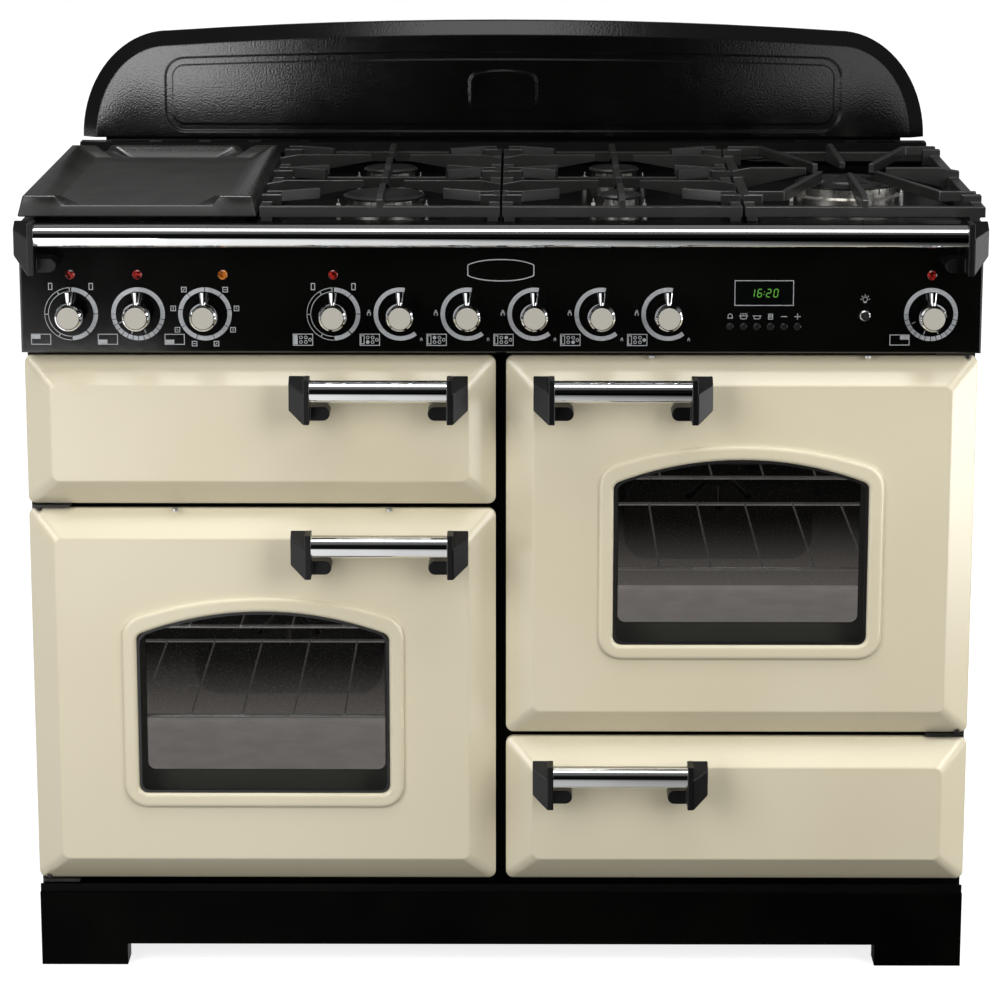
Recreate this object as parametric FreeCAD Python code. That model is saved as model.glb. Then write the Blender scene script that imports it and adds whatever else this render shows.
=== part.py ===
import FreeCAD, Part
import math
import os

# A free-standing range cooker in millimetres. X runs to the right, Y to the rear and Z up.
# The origin is on the floor, in the middle of the width and of the depth over the handles.
# In the comments, depth is measured back from the flat faces of the doors.

V = FreeCAD.Vector

# Driving dimensions of the whole cooker
BODY_WIDTH = 1092.0
BODY_DEPTH = 592.0          # to the rear panel
REAR_FITTINGS = 16.0        # how far the gas and cable fittings stand off the rear panel
SHEET = 2.0                 # pressed steel sheet
FIT = 0.06                  # running clearance of a pin or shaft
SLACK = 0.3                 # clearance between pieces that pass each other
EXACT = 0.001               # how near counts as the same place
COLUMN_GAP = 12.0           # between the left and right columns of fronts
FRONT_GAP = 6.0             # between one front and the next above it

# Heights above the floor
PLINTH_HEIGHT = 91.0
FRONTS_BOTTOM = 106.0
TALL_FRONT = 448.0          # an oven door
LOW_FRONT = 174.0           # the grill front and the drawer front
PANEL_GAP = 7.0             # below the control panel
PANEL_HEIGHT = 124.0
HOB_RISE = 23.0             # hob tray above the control panel
GRID_TOP_RISE = 29.0        # finger tops above the hob tray

# Pressed fronts
BEVEL_WIDTH = 31.0
BEVEL_DEPTH = 25.0
FRONT_RETURN = 7.0          # straight edge behind the bevel
FRONT_CORNER_R = 9.0
LINER_INSET = 4.0

# Arched door window
WINDOW_SIDE = 123.5         # window edge from the door edge
WINDOW_SILL = 112.0         # above the bottom of the door
WINDOW_SPRING = 191.0       # height of the upright sides
WINDOW_RISE = 28.0          # of the shallow arch above them
WINDOW_CORNER_R = 10.0
BEAD_WIDTH = 17.0
BEAD_PROUD = 5.0
BEAD_ROUND = 4.5
PANE = 4.0
PANE_LAP = 15.0
PLUG_DEPTH = 8.0            # step of the door liner that enters the oven mouth
PLUG_MARGIN = 12.0          # liner step beyond the inner pane
SHELF_LIP = 3.0             # liner lip that holds the inner pane

# Door hinges
PIN_R = 3.5
PIN_REACH = 12.0            # into the door
PIN_FROM_EDGE = 12.0
PIN_DEPTH = 26.0
BOSS_WIDTH = 26.0
BOSS_HEIGHT = 20.0
BOSS_DEPTH = 14.0
HINGE_PLATE = 3.0
HINGE_PLATE_WIDTH = 44.0

# Bar handles and handrail
BAR_R = 12.5
BAR_DEPTH = 40.0            # bar axis in front of the doors
CAP_REACH = 54.0            # bracket front, ahead of the doors
CAP_BACK = 27.0             # bracket rear, ahead of the doors
CAP_WIDTH = 24.0
CAP_ABOVE = 16.0            # bracket above the bar axis
CAP_BELOW = 36.0
CAP_RIDGE = 7.0             # front ridge of the bracket, from the bar end
CAP_FACET = 40.0            # outer facet meets the bracket side, ahead of the doors
CAP_WAIST = 22.0            # bracket side ends this far below the bar axis
FOOT_REACH = 14.0           # straight part of the foot under the bar
FOOT_HEIGHT = 16.0
HANDLE_LENGTH = 203.0
HANDLE_FROM_TOP = 30.0
HANDLE_FROM_CENTRE = 37.0   # handle end to the middle of the cooker
RAIL_RISE = 16.0            # handrail axis above the control panel
RAIL_BELOW = 43.0

# Carcass
FRAME_DEPTH = 48.0          # front frame plate, behind the door fronts
PLINTH_SETBACK = 12.0
PLINTH_END = 102.0
PLINTH_SIDE_GAP = 1.5
PLINTH_CLEAR = 33.0         # toe gap under the middle of the plinth
PLINTH_FLOOR_GAP = 1.0
PLINTH_LIP = 6.0
BASE_SETBACK = 14.0
BASE_LIP = 10.0
SIDE_SETBACK = 50.0
SIDE_BOTTOM = 24.0
FLANGE = 15.0
FOOT_PAD_R = 20.0
FOOT_PAD_HEIGHT = 9.0
FOOT_STUD_R = 6.0
FOOT_INSET = 70.0

# Ovens, grill and drawer
OVEN_SIDE = 55.0            # oven wall from the door edge
OVEN_HEIGHT = 340.0
OVEN_DEPTH = 450.0
SEAL = 5.0
SEAL_GAP = 1.0
RIB = 8.0                   # shelf ribs on the oven sides
RIB_HEIGHT = 6.0
RIB_FIRST = 130.0           # lower ribs above the oven floor
RIB_PITCH = 109.0
RIB_ROWS = 2
WIRE_R = 3.0
THIN_WIRE_R = 2.0
SHELF_WIRES = 9
FAN_R = 70.0
FAN_DEPTH = 20.0
FAN_BLADES = 8
FAN_WALL_GAP = 14.0         # fan to the rear wall of the oven
FAN_COVER_GAP = 12.0        # fan to its cover
FAN_COVER_MARGIN = 30.0
FAN_SHAFT_R = 4.0
SHAFT_CLEAR = 2.0           # round a shaft, spindle or pipe that passes through sheet
SHAFT_IN_MOTOR = 16.0
COVER_SLOTS = 8
COVER_SLOT_INNER_R = 24.0
COVER_SLOT_OUTER_R = 56.0
COVER_SLOT_WIDTH = 7.0
MOTOR_R = 32.0
MOTOR_LENGTH = 50.0
RING_R = 90.0
ELEMENT_R = 4.0
GRILL_SIDE = 50.0           # grill wall from the edge of its front
GRILL_HEIGHT = 126.0
GRILL_DEPTH = 420.0
GRILL_LOOPS = 5
GRILL_ELEMENT_PITCH = 60.0
GRILL_ELEMENT_SETBACK = 50.0
PAN_SIDE_GAP = 13.0         # grill pan to its liner
PAN_HEIGHT = 48.0
PAN_DEPTH = 370.0
PAN_RISE = 8.0
DRAWER_SIDE = 30.0          # drawer mouth from the edge of its front
DRAWER_HEIGHT = 156.0
DRAWER_SIDE_GAP = 15.0
DRAWER_BOX_HEIGHT = 124.0
DRAWER_DEPTH = 460.0
RUNNER_HEIGHT = 6.0
RUNNER_OVERLAP = 8.0
RUNNER_CLEAR = 1.0          # rail to the side of its box

# Controls
KNOB_PITCH_SHARE = 0.0696   # of the body width
CENTRE_ROW = 6              # knobs between the warning lamps and the clock
KNOB_RISE = 45.0            # knob axis above the bottom of the panel
KNOB_R = 16.0
KNOB_FACE_R = 12.0
KNOB_REACH = 33.0
KNOB_DOME = 9.0
KNOB_BROW_R = 15.0          # half way round the dome
KNOB_BROW = 3.4
KNOB_GAP = 2.0
POINTER_TIP = 28.0          # pointer peg, from the knob axis to its flared tip
POINTER_ROOT = 12.0
POINTER_TIP_R = 4.8
POINTER_ROOT_R = 3.0
POINTER_DEPTH = 14.0        # peg behind the knob face
SPINDLE_R = 4.0
SPINDLE_REACH = 26.0
TAP_DEPTH = 40.0
TAP_WIDTH = 34.0
TAP_HEIGHT = 44.0
GAS_RAIL_R = 9.0
INLET_R = 14.0
INLET_BORE_R = 9.3
INLET_BORE_DEPTH = 14.0
END_KNOB_INSET = 58.0
LENS_RISE = 90.0
LENS_R = 5.5
LENS_PROUD = 2.5
FUNCTION_LENS_INSET = 231.0
CLOCK_INSET = 247.5
CLOCK_RISE = 69.5
CLOCK_WIDTH = 65.0
CLOCK_HEIGHT = 27.0
CLOCK_FLANGE = 3.0
CLOCK_DEPTH = 30.0
TIMER_BUTTONS = 6
TIMER_PITCH = 15.3
TIMER_RISE = 31.0
TIMER_R = 4.0
TIMER_PROUD = 2.5
LIGHT_INSET = 133.0
LIGHT_RISE = 44.0
LIGHT_R = 6.0
BEZEL_R = 8.5
BEZEL_PROUD = 2.0
LIGHT_PROUD = 5.0
BUTTON_TRAVEL = 3.0         # room behind a pressed button
BUTTON_STEM = 4.0           # button behind the panel sheet

# Hob
TRAY_SETBACK = 6.0
WELL_DEPTH = 8.0
WELL_MARGIN = 14.0
WELL_CORNER_R = 20.0
GRID_SETBACK = 25.0
GRID_DEPTH = 505.0
GRID_OVERHANG = 4.0         # supports and griddle, beyond the body
GRID_GAP = 3.0
GRID_UNITS = 4              # griddle, two supports and the wok support
GRID_FOOT = 5.0
GRID_BAR = 12.0
GRID_BAR_HEIGHT = 12.0
FINGER = 7.0
FINGER_ROOT = 22.0          # block where a finger meets the frame
FINGER_LIFT = 4.0           # fingers rise this much from their root block
FINGER_TIP_R = 24.0         # finger tips stop this far from the burner axis
TIP_HEIGHT = 8.0            # depth of a finger at its tip
STUB = 64.0                 # short fingers near the corners
STUB_TURN = 24.0            # how far they turn towards a burner
STUB_INSET = 46.0           # short fingers, from the ends of the frame
WOK_TIP_R = 48.0
WOK_BEND = 46.0
GRIDDLE_DEPTH = 473.0
GRIDDLE_FLARE = 8.0
GRIDDLE_WALL = 13.0
GRIDDLE_SLOPE = 10.0        # inner side of the rim, over its height
GRIDDLE_FLOOR = 10.0
GRIDDLE_FRONT_CUT = 9.0
GRIDDLE_POST = 36.0
SPOUT = 18.0
HOTPLATE = 5.0
FRONT_BURNER_DEPTH = 162.0
REAR_BURNER_DEPTH = 399.0
WOK_DEPTH = 280.0
RAPID_R = 50.0
SEMI_R = 35.0
SIMMER_R = 26.5
BACK_SEMI_R = 32.5
WOK_R = 65.0
WOK_INNER_R = 28.0
BURNER_HEIGHT = 17.0
BURNER_SLOTS = 10
BURNER_SLOT = 2.0
BURNER_SLOT_DEPTH = 4.0
BURNER_SLOT_HEIGHT = 6.0
BURNER_FLANGE = 5.0
BURNER_NECK = 7.5
BURNER_WAIST_SHARE = 0.18  # of the casting, between flange and rim
CORE_R = 6.0                # bore up the middle of a burner
CAP_THICK = 5.0
CAP_SEAT_SHARE = 0.92       # of the burner radius
CAP_RIM_SHARE = 0.95
CAP_TOP_SHARE = 0.88
VENT_FRONT = 535.0
VENT_STEP = 570.0
VENT_HEIGHT = 26.0
VENT_BACK_HEIGHT = 17.0
VENT_SLOPE = 12.0
LOUVRES = 16
LOUVRE_WIDTH = 48.0

# Rear panel
VENT_ROW_Z = 600.0
VENT_ROW_PITCH = 60.0
VENT_ROW_COUNT = 2
VENT_SLOTS = 9
VENT_SLOT_PITCH = 60.0
VENT_SLOT_LENGTH = 44.0
VENT_SLOT_HEIGHT = 5.0
TERMINAL_INSET = 146.0
TERMINAL_Z = 200.0
TERMINAL_WIDTH = 120.0
TERMINAL_HEIGHT = 90.0
CABLE_R = 10.0
CABLE_BOSS_R = 14.0

# Splashback
SPLASH_SIDE_GAP = 6.0       # splashback and vent trim, inside the body
SPLASH_DEPTH = 20.0
SPLASH_CENTRE_HEIGHT = 149.0
SPLASH_SHOULDER_HEIGHT = 135.0
SPLASH_SHOULDER_RUN = 111.0 # width of each long shoulder
SPLASH_BEVEL = 18.0
SPLASH_BEVEL_DEPTH = 12.0
SPLASH_GROOVE = 9.0
SPLASH_GROOVE_DEPTH = 2.0
SPLASH_FIELD_INSET = 108.0
SPLASH_FIELD_BOTTOM = 8.0
SPLASH_FIELD_TOP = 101.0
SPLASH_FIELD_RISE = 8.0
SPLASH_FIELD_R = 25.0
PLAQUE_WIDTH = 86.0
PLAQUE_BOTTOM = 34.0        # above the bottom of the splashback
PLAQUE_SPRING = 46.0
PLAQUE_RISE = 6.0
PLAQUE_R = 12.0
PLAQUE_PROUD = 2.0
SPACER_DEPTH = 14.0
SPACER_INSET = 30.0
SPACER_HEIGHT = 12.0

# Places worked out from the driving dimensions
Y_FRONT = (CAP_REACH - BODY_DEPTH - REAR_FITTINGS) / 2
HALF = BODY_WIDTH / 2
FRONT_BACK = BEVEL_DEPTH + FRONT_RETURN
COLUMN_WIDTH = (BODY_WIDTH - COLUMN_GAP) / 2
COLUMN_X = (BODY_WIDTH + COLUMN_GAP) / 4
WINDOW_WIDTH = COLUMN_WIDTH - 2 * WINDOW_SIDE
OVEN_WIDTH = COLUMN_WIDTH - 2 * OVEN_SIDE
GRILL_WIDTH = COLUMN_WIDTH - 2 * GRILL_SIDE
DRAWER_WIDTH = COLUMN_WIDTH - 2 * DRAWER_SIDE
FRONTS_TOP = FRONTS_BOTTOM + TALL_FRONT + FRONT_GAP + LOW_FRONT
PANEL_BOTTOM = FRONTS_TOP + PANEL_GAP
PANEL_TOP = PANEL_BOTTOM + PANEL_HEIGHT
HOB_TOP = PANEL_TOP + HOB_RISE
WELL_FLOOR = HOB_TOP - WELL_DEPTH
GRID_TOP = HOB_TOP + GRID_TOP_RISE
GRID_SPAN = BODY_WIDTH + 2 * GRID_OVERHANG
GRID_PITCH = (GRID_SPAN + GRID_GAP) / GRID_UNITS
KNOB_Z = PANEL_BOTTOM + KNOB_RISE
KNOB_PITCH = KNOB_PITCH_SHARE * BODY_WIDTH
END_KNOB_X = HALF - END_KNOB_INSET
CLOCK_X = HALF - CLOCK_INSET
LIGHT_X = HALF - LIGHT_INSET
INLET_X = 2 * KNOB_PITCH     # between the last two gas taps
TERMINAL_X = TERMINAL_INSET - HALF
FRAME_BACK = FRAME_DEPTH + SHEET
OVEN_BACK = FRAME_BACK + OVEN_DEPTH
GRILL_BOTTOM = FRONTS_BOTTOM + TALL_FRONT + FRONT_GAP
RIGHT_OVEN_BOTTOM = FRONTS_BOTTOM + LOW_FRONT + FRONT_GAP
RIB_LEVELS = [RIB_FIRST + row * RIB_PITCH for row in range(RIB_ROWS)]
FAN_FRONT = OVEN_BACK - FAN_WALL_GAP - FAN_DEPTH
GRILL_FLOOR = GRILL_BOTTOM + (LOW_FRONT - GRILL_HEIGHT) / 2
DRAWER_FLOOR = FRONTS_BOTTOM + (LOW_FRONT - DRAWER_HEIGHT) / 2
PAN_FLOOR = GRILL_FLOOR + PAN_RISE
DRAWER_BOX_FLOOR = DRAWER_FLOOR + PAN_RISE
PAN_RUNNER_Z = PAN_FLOOR + PAN_HEIGHT / 2
DRAWER_RUNNER_Z = DRAWER_BOX_FLOOR + DRAWER_BOX_HEIGHT / 2
PAN_HALF = GRILL_WIDTH / 2 - PAN_SIDE_GAP
DRAWER_HALF = DRAWER_WIDTH / 2 - DRAWER_SIDE_GAP
OVENS = ((-1, FRONTS_BOTTOM), (1, RIGHT_OVEN_BOTTOM))
CENTRE_KNOBS = [(place - (CENTRE_ROW - 1) / 2) * KNOB_PITCH for place in range(CENTRE_ROW)]
ELECTRIC_KNOBS = {"knob_grill": -END_KNOB_X, "knob_left_heat": KNOB_PITCH - END_KNOB_X,
                  "knob_left_mode": 2 * KNOB_PITCH - END_KNOB_X, "knob_hotplate": CENTRE_KNOBS[0],
                  "knob_right_heat": END_KNOB_X}
GAS_KNOBS = {"knob_burner_" + str(place): x for place, x in enumerate(CENTRE_KNOBS) if place}
LENSES = [-END_KNOB_X, KNOB_PITCH - END_KNOB_X, FUNCTION_LENS_INSET - HALF, CENTRE_KNOBS[0], END_KNOB_X]
TIMERS = [CLOCK_X + (place - (TIMER_BUTTONS - 1) / 2) * TIMER_PITCH for place in range(TIMER_BUTTONS)]
LENS_Z = PANEL_BOTTOM + LENS_RISE
CLOCK_Z = PANEL_BOTTOM + CLOCK_RISE
TIMER_Z = PANEL_BOTTOM + TIMER_RISE
LIGHT_Z = PANEL_BOTTOM + LIGHT_RISE
SPINDLE_BORE = SPINDLE_REACH + SHEET
UNITS = [(place * GRID_PITCH - GRID_SPAN / 2, (place + 1) * GRID_PITCH - GRID_SPAN / 2 - GRID_GAP)
         for place in range(GRID_UNITS)]
GRID_MIDDLES = [(x0 + x1) / 2 for x0, x1 in UNITS]
BURNERS = [(GRID_MIDDLES[1], FRONT_BURNER_DEPTH, RAPID_R), (GRID_MIDDLES[1], REAR_BURNER_DEPTH, SEMI_R),
           (GRID_MIDDLES[2], FRONT_BURNER_DEPTH, SIMMER_R), (GRID_MIDDLES[2], REAR_BURNER_DEPTH, BACK_SEMI_R)]
WOK = (GRID_MIDDLES[3], WOK_DEPTH)
BURNER_TOP = WELL_FLOOR + BURNER_HEIGHT
GRID_BACK = GRID_SETBACK + GRID_DEPTH
GRID_BASE = HOB_TOP + GRID_FOOT
GRID_DECK = GRID_BASE + GRID_BAR_HEIGHT
SPLASH_WIDTH = BODY_WIDTH - 2 * SPLASH_SIDE_GAP
SPLASH_SHOULDER_X = SPLASH_WIDTH / 2 - SPLASH_SHOULDER_RUN
SPLASH_FIELD_X = SPLASH_WIDTH / 2 - SPLASH_FIELD_INSET
SPACER_X = SPLASH_WIDTH / 2 - SPACER_INSET
SPLASH_BOTTOM = HOB_TOP + VENT_BACK_HEIGHT + SPACER_HEIGHT
SPLASH_FRONT = BODY_DEPTH - SPLASH_DEPTH


def at(x, depth, z):
    """A point, with its depth behind the door fronts."""
    return V(x, Y_FRONT + depth, z)


def block(x0, x1, d0, d1, z0, z1):
    return Part.makeBox(x1 - x0, d1 - d0, z1 - z0, at(x0, d0, z0))


def rod_x(x0, x1, depth, z, radius):
    return Part.makeCylinder(radius, x1 - x0, at(x0, depth, z), V(1, 0, 0))


def rod_y(x, d0, d1, z, radius):
    return Part.makeCylinder(radius, d1 - d0, at(x, d0, z), V(0, 1, 0))


def rod_z(x, depth, z0, z1, radius):
    return Part.makeCylinder(radius, z1 - z0, at(x, depth, z0), V(0, 0, 1))


def closed(points):
    return Part.Face(Part.makePolygon(points + points[:1]))


def front_slab(points, d0, d1):
    """A front outline of (x, z) points, pushed back from d0 to d1."""
    return closed([at(x, d0, z) for x, z in points]).extrude(V(0, d1 - d0, 0))


def side_slab(points, x0, x1):
    """A side outline of (depth, z) points, drawn across from x0 to x1."""
    return closed([at(x0, d, z) for d, z in points]).extrude(V(x1 - x0, 0, 0))


def plan_slab(points, z0, z1):
    """A plan outline of (x, depth) points, raised from z0 to z1."""
    return closed([at(x, d, z0) for x, d in points]).extrude(V(0, 0, z1 - z0))


def line(a, b):
    return Part.LineSegment(a, b).toShape()


def arc(a, b, c):
    return Part.Arc(a, b, c).toShape()


def rounded_wire(x0, x1, z0, z1, radius, depth):
    """A rounded rectangle in the front view."""
    centres = [(x1 - radius, z0 + radius), (x1 - radius, z1 - radius),
               (x0 + radius, z1 - radius), (x0 + radius, z0 + radius)]
    corners = []
    for turn, (cx, cz) in enumerate(centres):
        angles = [math.radians(90 * turn + step) for step in (-90, -45, 0)]
        corners.append([at(cx + radius * math.cos(a), depth, cz + radius * math.sin(a)) for a in angles])
    edges = []
    for corner, following in zip(corners, corners[1:] + corners[:1]):
        edges.append(arc(*corner))
        edges.append(line(corner[-1], following[0]))
    return Part.Wire(edges)


def rounded_slab(x0, x1, z0, z1, radius, d0, d1):
    return Part.Face(rounded_wire(x0, x1, z0, z1, radius, d0)).extrude(V(0, d1 - d0, 0))


def edges_along(shape, axis):
    """The straight edges that run along one axis."""
    return [e for e in shape.Edges
            if isinstance(e.Curve, Part.Line) and e.Curve.Direction.cross(axis).Length < EXACT]


def edges_at_depth(shape, depth):
    """The edges that lie wholly at one depth."""
    y = Y_FRONT + depth
    return [e for e in shape.Edges
            if abs(e.BoundBox.YMin - y) < EXACT and abs(e.BoundBox.YMax - y) < EXACT]


def fuse_all(shapes):
    return shapes[0].multiFuse(shapes[1:]).removeSplitter()


def group(shapes):
    return Part.makeCompound(shapes)


def save(shape, node):
    shape.exportStep("parts/" + node + ".step")


def mirrored(shape):
    return shape.mirror(V(0, 0, 0), V(1, 0, 0))


def arch(x, sill, width, spring, rise, corner, d0, d1):
    """An arched window: a flat sill, upright sides and a shallow arc over them."""
    half = width / 2
    low_left = at(x - half, d0, sill)
    low_right = at(x + half, d0, sill)
    high_left = at(x - half, d0, sill + spring)
    high_right = at(x + half, d0, sill + spring)
    crown = at(x, d0, sill + spring + rise)
    wire = Part.Wire([line(low_left, low_right), line(low_right, high_right),
                      arc(high_right, crown, high_left), line(high_left, low_left)])
    slab = Part.Face(wire).extrude(V(0, d1 - d0, 0))
    return slab.makeFillet(corner, edges_along(slab, V(0, 1, 0)))


def grown_arch(x, sill, grow, d0, d1):
    """The door window's outline, grown evenly by some millimetres."""
    return arch(x, sill - grow, WINDOW_WIDTH + 2 * grow, WINDOW_SPRING + 2 * grow, WINDOW_RISE,
                WINDOW_CORNER_R + max(grow, 0), d0, d1)


def pillow(x0, x1, z0, z1, front, back):
    """A wide bevel round a flat face, with a short straight return behind it."""
    rim = rounded_wire(x0, x1, z0, z1, FRONT_CORNER_R, front + BEVEL_DEPTH)
    face = rounded_wire(x0 + BEVEL_WIDTH, x1 - BEVEL_WIDTH, z0 + BEVEL_WIDTH, z1 - BEVEL_WIDTH,
                        FRONT_CORNER_R, front)
    bevel = Part.makeLoft([face, rim], True, True)
    skirt = Part.Face(rim).extrude(V(0, back - front - BEVEL_DEPTH, 0))
    return bevel.fuse(skirt).removeSplitter()


def pressed_front(x0, x1, z0, z1):
    """A front pressed from sheet, open at the back."""
    outer = pillow(x0, x1, z0, z1, 0, FRONT_BACK)
    inner = pillow(x0 + SHEET, x1 - SHEET, z0 + SHEET, z1 - SHEET, SHEET, FRONT_BACK + SHEET)
    return outer.cut(inner)


def door_panel(side, bottom):
    """An oven door skin with its window bead, and bored bosses for the hinge pins."""
    middle = side * COLUMN_X
    x0 = middle - COLUMN_WIDTH / 2
    x1 = middle + COLUMN_WIDTH / 2
    top = bottom + TALL_FRONT
    sill = bottom + WINDOW_SILL
    skin = pressed_front(x0, x1, bottom, top)
    bead = grown_arch(middle, sill, BEAD_WIDTH, -BEAD_PROUD, SHEET)
    bead = bead.cut(grown_arch(middle, sill, 0, -BEAD_PROUD - SHEET, 2 * SHEET))
    bead = bead.makeFillet(BEAD_ROUND, edges_at_depth(bead, -BEAD_PROUD))
    skin = skin.cut(grown_arch(middle, sill, BEAD_WIDTH / 2, -SHEET, 2 * SHEET))
    outer = pillow(x0, x1, bottom, top, 0, FRONT_BACK)
    hinge_edge = middle + side * COLUMN_WIDTH / 2
    inner_edge = hinge_edge - side * BOSS_WIDTH
    boss_x = sorted((hinge_edge, inner_edge))
    pin_x = hinge_edge - side * PIN_FROM_EDGE
    bosses = []
    bores = []
    for z0, z1 in ((bottom, bottom + BOSS_HEIGHT), (top - BOSS_HEIGHT, top)):
        boss = block(*boss_x, FRONT_BACK - BOSS_DEPTH, FRONT_BACK, z0, z1)
        bosses.append(boss.common(outer))
        bores.append(rod_z(pin_x, PIN_DEPTH, z0, z1, PIN_R + FIT))
    return fuse_all([skin, bead] + bosses).cut(group(bores))


def door_liner(side, bottom):
    """The inner side of an oven door: a flange with a step, pocketed for the inner pane."""
    middle = side * COLUMN_X
    half = COLUMN_WIDTH / 2 - LINER_INSET
    sill = bottom + WINDOW_SILL
    back = FRONT_BACK + SHEET + PLUG_DEPTH
    flange = rounded_slab(middle - half, middle + half, bottom + LINER_INSET,
                          bottom + TALL_FRONT - LINER_INSET, FRONT_CORNER_R, FRONT_BACK, FRONT_BACK + SHEET)
    plug = grown_arch(middle, sill, PANE_LAP + PLUG_MARGIN, FRONT_BACK, back)
    liner = flange.fuse(plug).removeSplitter()
    liner = liner.cut(grown_arch(middle, sill, PANE_LAP, FRONT_BACK, back - SHELF_LIP))
    return liner.cut(grown_arch(middle, sill, 0, FRONT_BACK, back))


def door_glass(side, bottom):
    """The outer pane behind the window bead and the inner pane in the liner."""
    middle = side * COLUMN_X
    sill = bottom + WINDOW_SILL
    seat = FRONT_BACK + SHEET + PLUG_DEPTH - SHELF_LIP
    outer = grown_arch(middle, sill, PANE_LAP, SHEET, SHEET + PANE)
    inner = grown_arch(middle, sill, PANE_LAP - SLACK, seat - PANE, seat)
    return group([outer, inner])


def bar_bracket(x, z, width, below):
    """A faceted cast bracket at the right end of a bar, with a foot back to the front."""
    ridge = x + CAP_RIDGE
    end = x + width
    top = z + CAP_ABOVE
    bottom = z - below
    flange = block(x, ridge, -CAP_REACH, -CAP_BACK, bottom, top)
    outline = front_slab([(ridge, top), (end, top), (end, z - CAP_WAIST), (ridge, bottom)],
                         -CAP_REACH, -CAP_BACK)
    crown = side_slab([(-CAP_REACH, bottom), (-CAP_REACH, z), (-CAP_BACK, top), (-CAP_BACK, bottom)],
                      ridge, end)
    flank = plan_slab([(ridge, -CAP_REACH), (end, -CAP_FACET), (end, -CAP_BACK), (ridge, -CAP_BACK)],
                      bottom, top)
    round_r = FOOT_HEIGHT / 2
    foot_z = bottom + round_r
    foot = block(x - FOOT_REACH, ridge, -CAP_BACK - SHEET, 0, foot_z - round_r, foot_z + round_r)
    boss = rod_y(x - FOOT_REACH, -CAP_BACK - SHEET, 0, foot_z, round_r)
    return fuse_all([flange, outline.common(crown).common(flank), foot, boss])


def bar_handle(x0, x1, z, width, below):
    """A round bar held between two brackets."""
    bar = rod_x(x0 + width, x1 - width, -BAR_DEPTH, z, BAR_R)
    middle = (x0 + x1) / 2
    right = bar_bracket(x1 - width, z, width, below)
    left = right.mirror(V(middle, 0, 0), V(1, 0, 0))
    return group([bar, left, right])


def front_handle(side, top):
    ends = sorted((side * HANDLE_FROM_CENTRE, side * (HANDLE_FROM_CENTRE + HANDLE_LENGTH)))
    return bar_handle(*ends, top - HANDLE_FROM_TOP, CAP_WIDTH, CAP_BELOW)


def mouth(middle, z, width, height, d0, d1):
    """A plain rectangular space, centred on a column and standing on z."""
    return block(middle - width / 2, middle + width / 2, d0, d1, z, z + height)


def oven_floor(bottom):
    return bottom + (TALL_FRONT - OVEN_HEIGHT) / 2


def front_frame():
    """The plate behind the fronts, with a mouth for each oven, the grill and the drawer."""
    inside = HALF - SHEET
    plate = block(-inside, inside, FRAME_DEPTH, FRAME_BACK, PLINTH_HEIGHT + SHEET, PANEL_BOTTOM)
    mouths = [mouth(side * COLUMN_X, oven_floor(bottom), OVEN_WIDTH, OVEN_HEIGHT, FRAME_DEPTH, FRAME_BACK)
              for side, bottom in OVENS]
    mouths.append(mouth(-COLUMN_X, GRILL_FLOOR, GRILL_WIDTH, GRILL_HEIGHT, FRAME_DEPTH, FRAME_BACK))
    mouths.append(mouth(COLUMN_X, DRAWER_FLOOR, DRAWER_WIDTH, DRAWER_HEIGHT, FRAME_DEPTH, FRAME_BACK))
    return plate.cut(group(mouths))


def base_frame():
    """The base tray with its front lip, the divider between the columns and the rear posts."""
    inside = HALF - SHEET
    rear = BODY_DEPTH - SHEET
    floor_top = PLINTH_HEIGHT + SHEET
    base = block(-inside, inside, BASE_SETBACK, rear, PLINTH_HEIGHT, floor_top)
    lip = block(-inside, inside, BASE_SETBACK, BASE_SETBACK + SHEET, PLINTH_HEIGHT,
                PLINTH_HEIGHT + BASE_LIP)
    divider = block(-SHEET / 2, SHEET / 2, FRAME_BACK, rear, PLINTH_HEIGHT, FRONTS_TOP)
    outer = inside - FLANGE - SHEET
    inner = outer - 2 * FLANGE
    wing = rear - 2 * FLANGE
    post = plan_slab([(outer, rear - SHEET), (outer, rear), (inner, rear), (inner, wing),
                      (inner + SHEET, wing), (inner + SHEET, rear - SHEET)], PLINTH_HEIGHT, PANEL_TOP)
    return fuse_all([base, lip, divider, post, mirrored(post)])


def side_panels():
    """Two sheets with a return at the front and at the rear."""
    front = SIDE_SETBACK
    rear = BODY_DEPTH - SHEET
    plan = [(HALF, front), (HALF, rear), (HALF - FLANGE, rear), (HALF - FLANGE, rear - SHEET),
            (HALF - SHEET, rear - SHEET), (HALF - SHEET, front + SHEET), (HALF - FLANGE, front + SHEET),
            (HALF - FLANGE, front)]
    right = plan_slab(plan, SIDE_BOTTOM, PANEL_TOP)
    notch = block(HALF - FLANGE, HALF - SHEET, front, rear, PLINTH_HEIGHT, PLINTH_HEIGHT + SHEET)
    right = right.cut(notch)
    return group([mirrored(right), right])


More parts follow.
